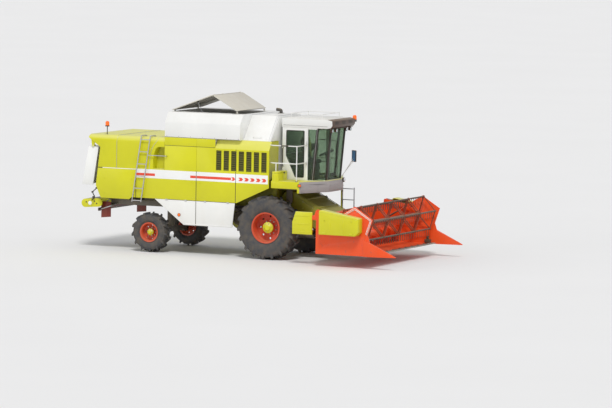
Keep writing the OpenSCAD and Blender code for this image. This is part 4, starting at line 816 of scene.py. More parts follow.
class HarvesterPanels(bpy.types.PropertyGroup):
    """Side panels."""

    band_low: bpy.props.FloatProperty(
        name="Band's lower edge", description="Height of the white band's lower edge", subtype="DISTANCE",
        unit="LENGTH", default=2.08)
    band_high: bpy.props.FloatProperty(
        name="Band's upper edge", description="Height of the white band's upper edge", subtype="DISTANCE",
        unit="LENGTH", default=2.325)
    slots: bpy.props.IntProperty(
        name="Slots", description="Cooling slots on each side", default=7)


# Places along X where a side panel ends
PANEL_SEAMS = (-4.068, -2.188, -0.973)
SEAM = 0.006


class BuildPanels(bpy.types.Operator):
    """Dress the side panels with their band, arrows, slots, black strips of painted shade in the seams and
    latches
    """

    bl_idname = "harvester.build_panels"
    bl_label = "Side panels"

    def execute(self, context):
        panels = context.scene.harvester_panels
        piece = Piece("side_panels.dressed", "root", "lime_paint", "lime")
        # The slats in the slots get the dark painted shade
        piece.node("side_panels", 0.005, region=on_slats, other="slat_shade")
        self.band(piece, panels)
        self.cooling(piece, panels)
        self.small_parts(piece)
        piece.done(replaces=("side_panels",))
        return {"FINISHED"}

    def band(self, piece, panels):
        face = SIDE_Y + 0.0002
        thick = 0.0016
        ends = [-4.06] + [x for x in PANEL_SEAMS if x > -4.06] + [0.02]
        for start, end in zip(ends, ends[1:]):
            left = start + (SEAM + 0.002 if start > -4.0 else 0)
            piece.box((left, face, panels.band_low), (end - 0.002, face + thick, panels.band_high),
                      0.0005, "stripe_white", BOTH, 1)
        # Red bars, then six arrows that point ahead
        low_z, high_z = panels.band_low + 0.062, panels.band_high - 0.112
        for start, end in ((-4.06, -3.47), (-2.37, -2.196), (-2.172, -1.11)):
            piece.plate([(start, low_z), (end, low_z), (end, high_z), (start, high_z)], "Y", face + thick,
                        face + thick + 0.001, 0, "stripe_red", BOTH)
        for i in range(6):
            start = -1.065 + i * 0.179 if i else -1.115 + 0.012
            end = start + (0.145 if i else 0.125)
            middle = (low_z + high_z) / 2
            bottom, top = low_z - 0.012, high_z + 0.012
            piece.plate([(start, bottom), (end - 0.045, bottom), (end, middle), (end - 0.045, top),
                         (start, top), (start + 0.045, middle)], "Y", face + thick, face + thick + 0.001,
                        0, "stripe_red", BOTH)

    def cooling(self, piece, panels):
        """A screen behind the slats and a raised frame round each slot."""
        first, pitch, width = -1.575, 0.231, 0.16
        low_z, high_z = 2.40, 2.95
        for i in range(panels.slots):
            x = first + i * pitch
            piece.box((x - 0.012, SIDE_Y - 0.034, low_z - 0.012),
                      (x + width + 0.012, SIDE_Y - 0.027, high_z + 0.012), 0.001, "screen", BOTH, 1)
            # Folded frame of the slot
            for start, end in (((x - 0.014, low_z - 0.014), (x + width + 0.014, low_z)),
                               ((x - 0.014, high_z), (x + width + 0.014, high_z + 0.014)),
                               ((x - 0.014, low_z), (x, high_z)),
                               ((x + width, low_z), (x + width + 0.014, high_z))):
                piece.box((start[0], SIDE_Y - 0.002, start[1]), (end[0], SIDE_Y + 0.005, end[1]), 0.002,
                          "lime", BOTH)

    def small_parts(self, piece):
        # Black strips in the seams between panels and over the skirts, painted shade of the gaps: place along
        # X, heights
        for x, bottom, top in ((-2.188, 1.515, 2.34), (-0.973, 1.53, 2.995), (-4.068, 1.52, 2.30)):
            piece.box((x - 0.004, SIDE_Y - 0.003, bottom), (x + 0.011, SIDE_Y + 0.0035, top), 0.001,
                      "black", BOTH)
        # Long black strips of painted shade over the skirts and near the panels' top edge
        piece.box((-3.05, SIDE_Y - 0.003, 1.508), (-0.985, SIDE_Y + 0.0025, 1.519), 0.001, "black", BOTH)
        piece.box((-3.18, SIDE_Y - 0.003, 3.015), (-1.62, SIDE_Y + 0.0025, 3.024), 0.001, "black", BOTH)
        # Round latches in the corners of each panel
        places = [(x, SIDE_Y + 0.001, z) for x in (-5.05, -4.20, -3.95, -2.30, -2.07, -1.08, -0.86)
                  for z in (1.60, 2.02) if not (x > -0.9 and z < 1.8)]
        places += [(x, SIDE_Y + 0.001, 3.10) for x in (-3.05, -2.40, -1.75)]
        piece.rod((0, 0, 0), (0, 0.006, 0), 0.016, "lime", 16, copies=twins(places))
        piece.rod((0, 0.006, 0), (0, 0.010, 0), 0.009, "lime", 6, copies=twins(places))


class DressSkirts(bpy.types.Operator):
    """A black strip of painted shade in a seam, clips and marker lamps on the white skirts"""

    bl_idname = "harvester.dress_skirts"
    bl_label = "Skirts"

    def execute(self, context):
        piece = Piece("skirt_parts", "root", "white_paint", "stripe_white")
        # Marker lamp at the rear corner
        piece.rod((-2.70, SIDE_Y, 1.10), (-2.70, SIDE_Y + 0.012, 1.10), 0.048, "black", 24, copies=BOTH)
        piece.rod((-2.70, SIDE_Y + 0.012, 1.10), (-2.70, SIDE_Y + 0.022, 1.10), 0.040, "orange", 24,
                  tip=0.032, copies=BOTH)
        # Black strip in the seam between the two skirts: painted shade of the gap
        piece.box((-2.192, SIDE_Y - 0.003, 0.80), (-2.177, SIDE_Y + 0.0035, 1.50), 0.001, "black", BOTH)
        for x in (-3.1, -2.5, -1.9, -1.2):
            piece.box((x - 0.035, SIDE_Y - 0.004, 1.485), (x + 0.035, SIDE_Y + 0.008, 1.525), 0.003,
                      "steel", BOTH)
        piece.box((-2.50, SIDE_Y - 0.001, 0.85), (-1.10, SIDE_Y + 0.004, 0.87), 0.002, "stripe_white", BOTH)
        piece.done()
        return {"FINISHED"}


class PadSeat(bpy.types.Operator):
    """Pad the driver's seat"""

    bl_idname = "harvester.pad_seat"
    bl_label = "Driver's seat"

    def execute(self, context):
        bottom, top = span("seat")
        piece = Piece("seat_pads", "root", "seat_cloth", "seat")
        piece.box((bottom.x + 0.11, bottom.y + 0.02, bottom.z + 0.012),
                  (top.x - 0.02, top.y - 0.02, bottom.z + 0.105), 0.03, segments=3)
        piece.plate([(bottom.x + 0.115, bottom.z + 0.135), (bottom.x + 0.19, bottom.z + 0.135),
                     (bottom.x + 0.095, top.z - 0.02), (bottom.x + 0.02, top.z - 0.02)], "Y", -0.20, 0.20,
                    0.025)
        pads = piece.done(replaces=("seat",))
        swell(pads, 0.006, 4.0, 0.012)
        return {"FINISHED"}


def swell(piece, voxel, pressure, cap):
    """Blows a pad up a little with a cloth simulation, and keeps the shape."""
    scene = bpy.context.scene
    remesh = piece.modifiers.new("remesh", "REMESH")
    remesh.mode = "VOXEL"
    remesh.voxel_size = voxel
    apply_modifiers(piece)
    start = [v.co.copy() for v in piece.data.vertices]
    pad = piece.modifiers.new("cloth", "CLOTH")
    pad.settings.use_pressure = True
    pad.settings.uniform_pressure_force = pressure
    pad.settings.effector_weights.gravity = 0
    for step in range(1, 21):
        scene.frame_set(step)
    apply_modifiers(piece)
    scene.frame_set(1)
    for vertex, before in zip(piece.data.vertices, start):
        move = vertex.co - before
        if move.length > cap:
            vertex.co = before + move.normalized() * cap
    smooth = piece.modifiers.new("smooth", "SUBSURF")
    smooth.levels = smooth.render_levels = 1
    apply_modifiers(piece)
    piece.data.shade_smooth()


def apply_modifiers(piece):
    ready = piece.evaluated_get(bpy.context.evaluated_depsgraph_get())
    mesh = bpy.data.meshes.new_from_object(ready)
    piece.modifiers.clear()
    before = piece.data
    piece.data = mesh
    bpy.data.meshes.remove(before)


class DressCab(bpy.types.Operator):
    """Fit the cab with seals, a wiper, handles, lamps, lining and controls, and give its mirror a blue
    painted reflection of the sky
    """

    bl_idname = "harvester.dress_cab"
    bl_label = "Cab parts"

    # Outline of the side windows, along X and Z, and the cab's half width
    WINDOW = [(0.25, 2.865), (0.535, 2.27), (0.795, 2.27), (0.795, 3.555), (0.25, 3.555)]
    HALF = 0.74

    def execute(self, context):
        floor_z = low("driver_console").z
        self.outside()
        self.door()
        self.inside(floor_z)
        self.mirror()
        return {"FINISHED"}

    def outside(self):
        piece = Piece("cab_parts", "root", "console_grey", "seal")
        lean = math.tan(math.radians(5))
        # Seals up the edges of the windscreen and the corner panes: foot along X and Y
        for x, y in ((1.349, 0.434), (1.341, 0.497), (1.097, 0.714)):
            piece.tube([(x, y, 2.205), (x + lean * 1.43, y, 3.635)], 0.007, "seal", 2, copies=BOTH)
        piece.box((1.338, -0.43, 2.200), (1.362, 0.43, 2.222), 0.004)
        # Dark faces of the corner pillars
        piece.plate([(1.030, 2.204), (1.0595, 2.204), (1.1835, 3.608), (1.154, 3.608)], "Y",
                    self.HALF - 0.001, self.HALF + 0.0015, 0, "black", BOTH)
        # Wiper: motor cover, arm and blade
        piece.rod((1.352, 0.16, 2.27), (1.392, 0.16, 2.274), 0.022, "black", 16, bevel=0.003)
        piece.tube([(1.385, 0.16, 2.275), (1.412, 0.14, 2.50), (1.440, 0.05, 2.86)], 0.006, "black", 2, 0.05)
        piece.tube([(1.388, 0.11, 2.50), (1.420, 0.07, 2.86), (1.454, 0.02, 3.26)], 0.008, "seal", 2, 0.1)
        # Seals of the right window and of the rear one
        piece.tube([(x, -self.HALF - 0.001, z) for x, z in self.WINDOW + self.WINDOW[:2]], 0.008, "seal",
                   2, 0.04)
        rear = [(-0.59, 2.90), (0.59, 2.90), (0.59, 3.52), (-0.59, 3.52)]
        piece.tube([(0.131, y, z) for y, z in rear + rear[:2]], 0.008, "seal", 2, 0.04)
        # Hinge bumps on the right mid post, and grab handles behind the doors
        for z in (2.62, 3.18):
            piece.box((0.852, -self.HALF - 0.018, z), (0.900, -self.HALF + 0.002, z + 0.08), 0.006, "white")
            piece.rod((0.876, -self.HALF - 0.018, z - 0.01), (0.876, -self.HALF - 0.018, z + 0.09), 0.010,
                      "steel", 12)
        piece.tube([(0.165, self.HALF, 2.55), (0.165, self.HALF + 0.045, 2.58),
                    (0.165, self.HALF + 0.045, 3.05), (0.165, self.HALF, 3.08)], 0.011, "black", 3, 0.03,
                   BOTH)
        # Lamps under the visor: lens and rim
        for y in (0.33, 0.60):
            piece.rod((1.584, y, 3.58), (1.5925, y, 3.58), 0.043, "clear_lens", 28, copies=BOTH, bevel=0.003)
            piece.turned([(0.042, 0), (0.0505, 0), (0.0505, 0.010), (0.042, 0.012)], (1.583, y, 3.58),
                         "X", "black", 28, BOTH)
        # Lip of the visor, vents in the fascia, seam round the roof and ribs on it
        piece.box((1.500, -0.735, 3.630), (1.600, 0.735, 3.642), 0.004, "fascia")
        for y in (-0.45, 0.0, 0.45):
            for i in range(5):
                piece.box((1.638, y - 0.12, 3.752 + i * 0.018), (1.652, y + 0.12, 3.760 + i * 0.018),
                          0.001, "black", segments=1)
        piece.tube([(1.498, 0.7500, 3.70), (0.16, 0.7500, 3.70)], 0.004, "seal", 1, copies=BOTH)
        for i in range(9):
            piece.box((0.30 + i * 0.11, -0.52, 3.905), (0.35 + i * 0.11, 0.52, 3.914), 0.003, "white")
        piece.done()

    def door(self):
        piece = Piece("door_parts", "door_left", "console_grey", "seal")
        piece.tube([(x, self.HALF + 0.001, z) for x, z in self.WINDOW + self.WINDOW[:2]], 0.008, "seal",
                   2, 0.04)
        piece.box((0.215, self.HALF - 0.001, 2.50), (0.275, self.HALF + 0.010, 2.70), 0.004, "black")
        piece.tube([(0.245, 0.748, 2.54), (0.245, 0.785, 2.55), (0.245, 0.785, 2.66),
                    (0.245, 0.748, 2.67)], 0.009, "steel", 3, 0.015)
        piece.tube([(0.30, 0.702, 2.62), (0.30, 0.66, 2.63), (0.815, 0.66, 2.63), (0.815, 0.702, 2.62)],
                   0.010, "black", 3, 0.03)
        piece.done()

    def inside(self, floor_z):
        piece = Piece("cab_inside", "root", "console_grey", "lining")
        piece.box((0.175, -0.69, floor_z), (1.02, 0.69, floor_z + 0.006), 0.002, "black")
        piece.box((0.168, -0.66, floor_z + 0.01), (0.186, 0.66, floor_z + 0.68), 0.006)
        piece.box((0.175, -0.68, 3.60), (1.30, 0.68, 3.632), 0.012)
        # Steering wheel: thick rim, three spokes, boss and knob
        wheel = Matrix.Translation((1.13, 0, floor_z + 0.72)) @ Matrix.Rotation(math.radians(-25), 4, "Y")
        rim = [(0.2 + 0.017 * math.cos(a), 0.017 * math.sin(a))
               for a in (math.tau * i / 10 for i in range(10))]
        piece.turned(rim, (0, 0, 0), "Z", "black", 40, (wheel,))
        piece.turned([(0.0005, 0.012), (0.052, 0.012), (0.050, 0.028), (0.03, 0.036), (0.0005, 0.038)],
                     (0, 0, 0), "Z", "console", 28, (wheel,))
        for i in range(3):
            turn = Matrix.Rotation(math.tau * i / 3, 4, "Z")
            piece.box((0.04, -0.014, -0.009), (0.19, 0.014, 0.010), 0.005, "console", (wheel @ turn,))
        piece.rod((0.2, 0, 0.012), (0.2, 0, 0.05), 0.02, "black", 14, copies=(wheel,), bevel=0.006)
        # Levers and switches on the console right of the seat: place and height of each lever
        top = floor_z + 0.62
        for x, y, tall in ((0.82, -0.36, 0.17), (0.74, -0.46, 0.12), (0.70, -0.36, 0.10)):
            piece.rod((x, y, top - 0.005), (x + 0.03, y, top + tall), 0.008, "chrome", 10)
            piece.rod((x + 0.03, y, top + tall - 0.01), (x + 0.04, y, top + tall + 0.05), 0.02, "black",
                      14, tip=0.024, bevel=0.008)
        for i in range(8):
            x, y = 0.52 + (i % 4) * 0.05, -0.44 + (i // 4) * 0.07
            piece.box((x, y, top - 0.001), (x + 0.03, y + 0.04, top + 0.008), 0.003, "red_lens"
                      if i == 3 else "black")
        # Monitor on its stalk
        monitor = Matrix.Translation((1.00, -0.48, top + 0.30)) @ Matrix.Rotation(math.radians(-25), 4, "Z")
        piece.box((-0.02, -0.12, -0.09), (0.02, 0.12, 0.09), 0.012, "console", (monitor,))
        piece.box((-0.023, -0.105, -0.075), (-0.019, 0.105, 0.075), 0.001, "screen", (monitor,), 1)
        piece.tube([(0.90, -0.42, top - 0.02), (0.96, -0.46, top + 0.15), (1.00, -0.475, top + 0.26)],
                   0.013, "console", 3, 0.08)
        # Pedals
        for y in (-0.22, 0.18, 0.30):
            piece.box((1.18, y, floor_z + 0.05), (1.20, y + 0.08, floor_z + 0.16), 0.005, "black")
            piece.rod((1.19, y + 0.04, floor_z - 0.002), (1.19, y + 0.04, floor_z + 0.06), 0.008, "chrome", 8)
        piece.done()

    def mirror(self):
        face = Matrix.Translation((1.39, 1.30, 2.77)) @ Matrix.Rotation(math.radians(-28), 4, "Z")
        piece = Piece("mirror_parts", "root", "console_grey", "mirror")
        # Blue face of the mirror: a painted reflection of the sky
        piece.box((-0.075, -0.0165, -0.148), (0.075, -0.0135, 0.148), 0, "mirror", (face,))
        for start, end in (((-0.087, -0.162), (0.087, -0.147)), ((-0.087, 0.147), (0.087, 0.162)),
                           ((-0.087, -0.15), (-0.074, 0.15)), ((0.074, -0.15), (0.087, 0.15))):
            piece.box((start[0], -0.021, start[1]), (end[0], -0.012, end[1]), 0.003, "black", (face,))
        piece.done()


class DressTop(bpy.types.Operator):
    """Fit seams, bolts, ribs and rungs on the tank, its lids and the hoods"""

    bl_idname = "harvester.dress_top"
    bl_label = "Tank, lids and hoods"

    def execute(self, context):
        self.tank()
        self.lids()
        self.engine_hood()
        self.straw_hood()
        return {"FINISHED"}

    def tank(self):
        piece = Piece("tank_parts", "root", "white_paint", "white")
        # Lip round the mouth
        mouth = [(-3.10, -1.00), (-0.92, -1.00), (-0.92, 0.64), (-3.10, 0.64)]
        piece.tube([(x, y, 3.951) for x, y in mouth + mouth[:2]], 0.008, "white", 2, 0.03)
        # Pressed seams down the sides, and the joint under the white side
        for x in (-2.62, -2.02, -1.42):
            piece.box((x, SIDE_Y - 0.001, 3.28), (x + 0.014, SIDE_Y + 0.002, 3.655), 0.001, "white", BOTH)
        piece.box((-3.175, SIDE_Y - 0.002, 3.2525), (-0.865, SIDE_Y + 0.003, 3.262), 0.0015, "black", BOTH)
        places = [(-3.12 + i * 0.37, SIDE_Y, 3.285) for i in range(7)]
        piece.rod((0, -0.001, 0), (0, 0.005, 0), 0.010, "bolt", 6, copies=twins(places))
        # Folds on the front wall, seen over the engine hood's slope
        for z in (3.40, 3.55):
            piece.box((-0.861, 1.05 if z < 3.5 else 0.98, z), (-0.857, 1.36, z + 0.012), 0.001, "white", BOTH)
        # Rungs and a tie bar inside
        for z in (3.05, 3.30, 3.55, 3.80):
            piece.tube([(-3.156, -0.55, z), (-3.09, -0.55, z), (-3.09, -0.20, z), (-3.156, -0.20, z)],
                       0.011, "steel", 3, 0.02)
        piece.rod((-2.0, -1.30, 3.60), (-2.0, 1.30, 3.60), 0.02, "steel", 12)
        piece.done()

    def lids(self):
        hinge, ridge, edge = Vector((-3.14, 0, 3.985)), Vector((-1.86, 0, 4.455)), Vector((-1.11, 0, 4.04))
        rear = Piece("lid_rear_parts", "tank_lid_rear", "lid_sheet", "lid")
        front = Piece("lid_front_parts", "tank_lid_front", "lid_sheet", "lid")
        for piece, start, end in ((rear, hinge, ridge), (front, ridge, edge)):
            way = end - start
            turn = Matrix.Translation(start) @ Matrix.Rotation(-math.atan2(way.z, way.x), 4, "Y")
            far = way.length
            # Edge beads and pressed ribs on top
            for y in (-1.096, 0.728):
                piece.box((0.06, y, 0.010), (far - 0.06, y + 0.008, 0.016), 0.002, "lid", (turn,))
            for i in range(1, 5):
                y = -1.10 + i * 0.368
                piece.box((0.12, y - 0.02, 0.0105), (far - 0.12, y + 0.02, 0.0155), 0.004, "lid", (turn,))
            heads = [turn @ Matrix.Translation((0.09 + k * (far - 0.18) / 6, y, 0.0115)) for k in range(7)
                     for y in (-1.07, 0.71)]
            piece.rod((0, 0, 0), (0, 0, 0.005), 0.008, "steel", 6, copies=heads)
        # Stay that props the rear lid from inside the mouth, and its bracket
        rear.tube([(-2.39, -0.965, 4.245), (-2.37, -0.965, 4.21), (-2.22, -0.965, 3.93)], 0.009, "steel",
                  3, 0.02)
        rear.box((-2.42, -0.985, 4.225), (-2.36, -0.945, 4.262), 0.003, "black")
        for piece in (rear, front):
            piece.done()

    def engine_hood(self):
        piece = Piece("engine_hood_parts", "root", "white_paint", "white")
        # Double seam near the front edge, one near the rear edge: place along X
        for x in (-0.020, -0.062, -0.835):
            piece.tube([(x, 1.2225, 3.26), (x, 0.695, 3.926), (x, 0.68, 3.932), (x, -0.68, 3.932),
                        (x, -0.694, 3.925), (x, -1.2215, 3.26)], 0.0045, "steel", 1)
        # Lift handles and latches on the slopes
        piece.tube([(-0.30, 1.165, 3.33), (-0.30, 1.205, 3.36), (-0.55, 1.205, 3.36),
                    (-0.55, 1.165, 3.33)], 0.008, "white", 3, 0.02, BOTH)
        piece.rod((-0.15, 1.185, 3.29), (-0.15, 1.203, 3.304), 0.020, "white", 16, copies=BOTH)
        piece.rod((-0.72, 1.185, 3.29), (-0.72, 1.203, 3.304), 0.020, "white", 16, copies=BOTH)
        # Outlet elbow of the exhaust on top, and its collar
        piece.rod((-0.52, 0.52, 3.925), (-0.52, 0.52, 3.94), 0.085, "engine", 28, bevel=0.003)
        piece.tube([(-0.52, 0.52, 3.93), (-0.52, 0.52, 4.02), (-0.66, 0.52, 4.03)], 0.045, "engine", 5, 0.07)
        # Louvres on the top
        for i in range(7):
            piece.box((-0.62, -0.56 + i * 0.07, 3.929), (-0.22, -0.52 + i * 0.07, 3.938), 0.004)
        piece.done()

    def straw_hood(self):
        piece = Piece("straw_hood_parts", "root", "lime_paint", "lime")
        # Ribs across the roof between its seams
        for y in (-1.0, -0.5, 0.0, 0.5, 1.0):
            for start, end in ((-5.45, -4.74), (-4.62, -3.50)):
                piece.box((start, y - 0.03, 3.227), (end, y + 0.03, 3.234), 0.004)
        # Grey seals in the seams: across the rear hood, and the curved one ahead of the ladder
        face = SIDE_Y + 0.0015
        piece.tube([(-4.677, -face, 2.32), (-4.677, -face, 3.07), (-4.677, -1.352, 3.182),
                    (-4.677, -1.24, 3.2315), (-4.677, 1.24, 3.2315), (-4.677, 1.352, 3.182),
                    (-4.677, face, 3.07), (-4.677, face, 2.32)], 0.006, "steel", 2)
        piece.tube([(-3.30, -0.6, 3.2315), (-3.36, -1.20, 3.2315), (-3.38, -1.28, 3.224),
                    (-3.405, -1.353, 3.184), (-3.43, -1.396, 3.11), (-3.50, -face, 3.03),
                    (-3.58, -face, 2.90), (-3.63, -face, 2.70), (-3.65, -face, 2.33)], 0.006, "steel", 2,
                   0.03)
        # Light trim line under the rear hood with its dark end
        for start, end, finish in ((-5.255, -5.12, "black"), (-5.12, -4.06, "stripe_white")):
            piece.box((start, SIDE_Y - 0.002, 2.298), (end, SIDE_Y + 0.006, 2.316), 0.003, finish, BOTH)
        piece.done()


class DressPlatform(bpy.types.Operator):
    """Fit the platform, its beam and its rails with tread, lamps, bolts and grips"""

    bl_idname = "harvester.dress_platform"
    bl_label = "Platform"

    def execute(self, context):
        piece = Piece("platform_parts", "root", "lime_paint", "lime")
        deck = 2.190
        # Raised tread pattern beside the cab, turned to and fro in rows
        places = []
        for i in range(11):
            for j in range(9):
                x, y = 0.40 + i * 0.05, 0.80 + j * 0.066
                places.append(Matrix.Translation((x, y, deck))
                              @ Matrix.Rotation(0.8 if (i + j) % 2 else -0.8, 4, "Z"))
        piece.box((-0.016, -0.0045, -0.001), (0.016, 0.0045, 0.003), 0, "lime",
                  [side @ place for side in BOTH for place in places])
        # Box on the right end: lid groove, ribs and latch
        piece.box((0.168, -1.4515, 2.405), (0.3515, -0.859, 2.411), 0, "black")
        for x in (0.20, 0.25, 0.30):
            piece.box((x, -1.456, 2.21), (x + 0.02, -1.449, 2.39), 0.003)
        for y in (-1.35, -1.15, -0.95):
            piece.box((0.349, y, 2.22), (0.355, y + 0.03, 2.39), 0.0025)
        piece.box((0.350, -1.09, 2.385), (0.362, -1.03, 2.43), 0.003, "black")
        # Reflector lamp on the beam's right end, round lamp on the far corner
        piece.box((0.955, -1.475, 2.055), (1.035, -1.40, 2.135), 0.008, "black")
        piece.box((0.975, -1.482, 2.065), (1.045, -1.43, 2.125), 0.010, "orange")
        piece.box((1.43, 0.44, 2.105), (1.47, 0.50, 2.13), 0.004, "black")
        piece.rod((1.425, 0.47, 2.165), (1.485, 0.47, 2.165), 0.058, "black", 24, tip=0.066, bevel=0.004)
        piece.rod((1.484, 0.47, 2.165), (1.492, 0.47, 2.165), 0.060, "clear_lens", 24, bevel=0.003)
        # Bolts along the beam: along its straight front and its two slanted wings
        for y in (-0.38, -0.13, 0.13, 0.38):
            piece.bolts([(1.4525, y, z) for z in (1.93, 2.06)], (1, 0, 0), 0.014, "bolt")
        wing = Vector((0.70, 0.30, 0)).normalized()
        along = Vector((-0.30, 0.70, 0)).normalized()
        for side in (1, -1):
            flip = Vector((1, side, 1))
            places = [(Vector((1.30, 0.75, z)) + along * t + wing * 0.003) * flip for t in (0.08, 0.36, 0.66)
                      for z in (1.93, 2.06)]
            piece.bolts(places, wing * flip, 0.014, "bolt")
        # Toe board
        piece.box((0.145, 1.435, 2.185), (0.75, 1.447, 2.24), 0.003)
        # Flanges of the rail posts with bolts: place along X and Y
        for x, y in ((0.876, -1.38), (0.210, 1.40), (0.780, 1.40)):
            piece.rod((x, y, deck - 0.001), (x, y, deck + 0.010), 0.036, "black", 20, bevel=0.002)
            piece.bolts([(x + 0.025 * math.cos(a), y + 0.025 * math.sin(a), deck + 0.013)
                         for a in (0.8, 2.4, 3.9, 5.5)], (0, 0, 1), 0.006, "bolt")
        # Rubber grips on the rails
        for start, end, radius in (((0.30, 1.40, 3.18), (0.48, 1.40, 3.18), 0.0195),
                                   ((0.40, -1.38, 3.163), (0.62, -1.38, 3.163), 0.0175)):
            piece.rod(start, end, radius, "black", 16)
        # Pipes clamped under the deck
        for z in (1.955, 1.925):
            piece.tube([(0.06, 0.55, z), (0.60, 0.55, z), (0.90, 0.30, z), (0.90, -0.30, z), (0.60, -0.55, z),
                        (0.06, -0.55, z)], 0.012, "black", 2, 0.08)
        for x, y in ((0.30, 0.55), (0.30, -0.55), (0.90, 0.0)):
            piece.box((x - 0.02, y - 0.02, 1.905), (x + 0.02, y + 0.02, 1.992), 0.003, "steel")
        piece.done()
        return {"FINISHED"}


class DressHeader(bpy.types.Operator):
    """Fit the header, its guards, its feeder house and the reel with beads, bolts, pipes and clips"""

    bl_idname = "harvester.dress_header"
    bl_label = "Header parts"

    def execute(self, context):
        self.table()
        self.knife()
        self.drive()
        self.feeder()
        self.reel_parts()
        return {"FINISHED"}

    def table(self):
        half = TABLE_HALF
        piece = Piece("header_parts", "header", "header_red", "stripe_white")
        # White beads round the end plates, an outer one and an inner one
        outer = [(2.02, 1.345), (2.67, 1.405), (3.06, 1.648), (3.565, 1.335), (3.43, 0.94)]
        inner = [(2.02, 1.315), (2.68, 1.375), (3.06, 1.612), (3.53, 1.32), (3.40, 0.95)]
        for route in (outer, inner):
            piece.tube([(x, half + 0.001, z) for x, z in route], 0.0075, "stripe_white", 2, 0.04, BOTH)
        # Bolts between the two beads
        places = []
        for (ax, az), (bx, bz) in zip(outer[1:], outer[2:]):
            places += [(ax + (bx - ax) * t, 0, az + (bz - az) * t - 0.06) for t in (0.15, 0.4, 0.65, 0.9)]
        piece.bolts([(x, half + 0.004, z) for x, _, z in places], (0, 1, 0), 0.013, "bolt")
        piece.bolts([(x, -half - 0.004, z) for x, _, z in places], (0, -1, 0), 0.013, "bolt")
        # Folded stiffeners inside the end plates
        piece.box((2.10, half - 0.045, 0.80), (3.35, half - 0.028, 0.84), 0.004, "header", BOTH)
        # Pipes with clips along the rear of the top beam
        for z, radius in ((1.345, 0.011), (1.315, 0.011), (1.285, 0.008)):
            piece.rod((1.784, -2.15, z), (1.784, 2.15, z), radius, "black", 10)
        for y in (-1.9, -1.2, -0.5, 0.5, 1.2, 1.9):
            piece.box((1.770, y - 0.02, 1.265), (1.798, y + 0.02, 1.362), 0.003, "steel")
        # Skid shoes under the pan
        for y in (-1.75, -0.75, 0.75, 1.75):
            piece.plate([(2.45, 0.345), (2.50, 0.325), (3.10, 0.320), (3.30, 0.345)], "Y", y - 0.09,
                        y + 0.09, 0.003, "steel")
        # Bolts on the dividers
        for side in (1, -1):
            piece.bolts([(x, side * (half + 0.050 - (x - 3.5) * 0.04), 0.50) for x in (3.50, 3.62)],
                        (0, side, 0), 0.012, "bolt")
        # Stripping plates behind the auger
        for z in (0.62, 0.90):
            piece.box((1.914, 0.62, z), (1.930, 2.25, z + 0.025), 0.003, "steel", BOTH)
        # Tail lamps on the beam's ends
        piece.box((1.775, 2.05, 1.29), (1.800, 2.20, 1.35), 0.006, "red_lens", BOTH)
        piece.done()

    def knife(self):
        piece = Piece("knife_parts", "header", "knife_steel", "knife")
        # Hold-down clips over the knife, and rivets on its blades
        clips = [Matrix.Translation((0, -2.1 + i * 0.42, 0)) for i in range(11)]
        piece.plate([(3.375, 0.386), (3.375, 0.398), (3.43, 0.396), (3.455, 0.388), (3.43, 0.386)], "Y",
                    -0.018, 0.018, 0.001, "black", clips)
        piece.rod((3.385, 0, 0.390), (3.385, 0, 0.403), 0.008, "bolt", 6, copies=clips)
        # Finger ribs: a narrow raised back on each finger, every second one
        ribs = [Matrix.Translation((0, -2.26 + i * 0.152, 0)) for i in range(30)]
        piece.plate([(3.37, 0.359), (3.37, 0.372), (3.50, 0.366), (3.528, 0.361)], "Y", 0.036, 0.042, 0,
                    "knife", ribs)
        # Knife drive box in the left corner with its arm
        piece.box((3.20, 2.16, 0.375), (3.36, 2.265, 0.47), 0.008, "black")
        piece.rod((3.28, 2.21, 0.46), (3.28, 2.21, 0.56), 0.035, "black", 18, bevel=0.003)
        piece.done()

    def drive(self):
        piece = Piece("guard_parts", "header", "lime_paint", "lime")
        out = high("drive_guards").y
        # Seams, ribs, hinges and latches on the outer faces of the two large guards
        piece.tube([(2.16, out + 0.001, 1.50), (2.20, out + 0.001, 1.525), (3.21, out + 0.001, 1.36),
                    (3.27, out + 0.001, 1.33)], 0.005, "lime", 2, 0.03, BOTH)
        for x in (2.45, 2.85):
            piece.box((x, out - 0.001, 0.95), (x + 0.03, out + 0.005, 1.32), 0.003, "lime", BOTH)
        for x in (2.30, 3.10):
            piece.box((x - 0.05, out - 0.001, 0.93), (x + 0.05, out + 0.012, 0.965), 0.003, "lime", BOTH)
            piece.rod((x, out, 1.30), (x, out + 0.012, 1.30), 0.024, "lime", 18, copies=BOTH)
            piece.box((x - 0.018, out + 0.010, 1.296), (x + 0.018, out + 0.016, 1.304), 0.001, "lime", BOTH)
        # Guard behind the right end plate
        face = -TABLE_HALF
        for z in (0.90, 1.12, 1.34):
            piece.box((1.26, face - 0.006, z), (1.72, face + 0.001, z + 0.03), 0.003)
        piece.rod((1.30, face, 1.25), (1.30, face - 0.010, 1.25), 0.022, "lime", 18)
        piece.done()

    def feeder(self):
        piece = Piece("feeder_parts", "header", "lime_dark", "lime_shade")
        half = 0.625
        # Edge angles along the back, bolts beside the ribs
        a, b = Vector((0.50, 0, 1.835)), Vector((1.86, 0, 1.105))
        for side in (1, -1):
            shift = Vector((0, side * (half - 0.012), 0.006))
            piece.tube([a + shift, b + shift], 0.010, "lime_shade", 2)
            for x in (0.82, 1.22, 1.62):
                z = 1.865 - (x - 0.41) * (1.865 - 1.08) / 1.47
                piece.bolts([(x, side * 0.45, z + 0.018), (x, side * 0.15, z + 0.018)], (0.47, 0, 0.88),
                            0.012, "bolt")
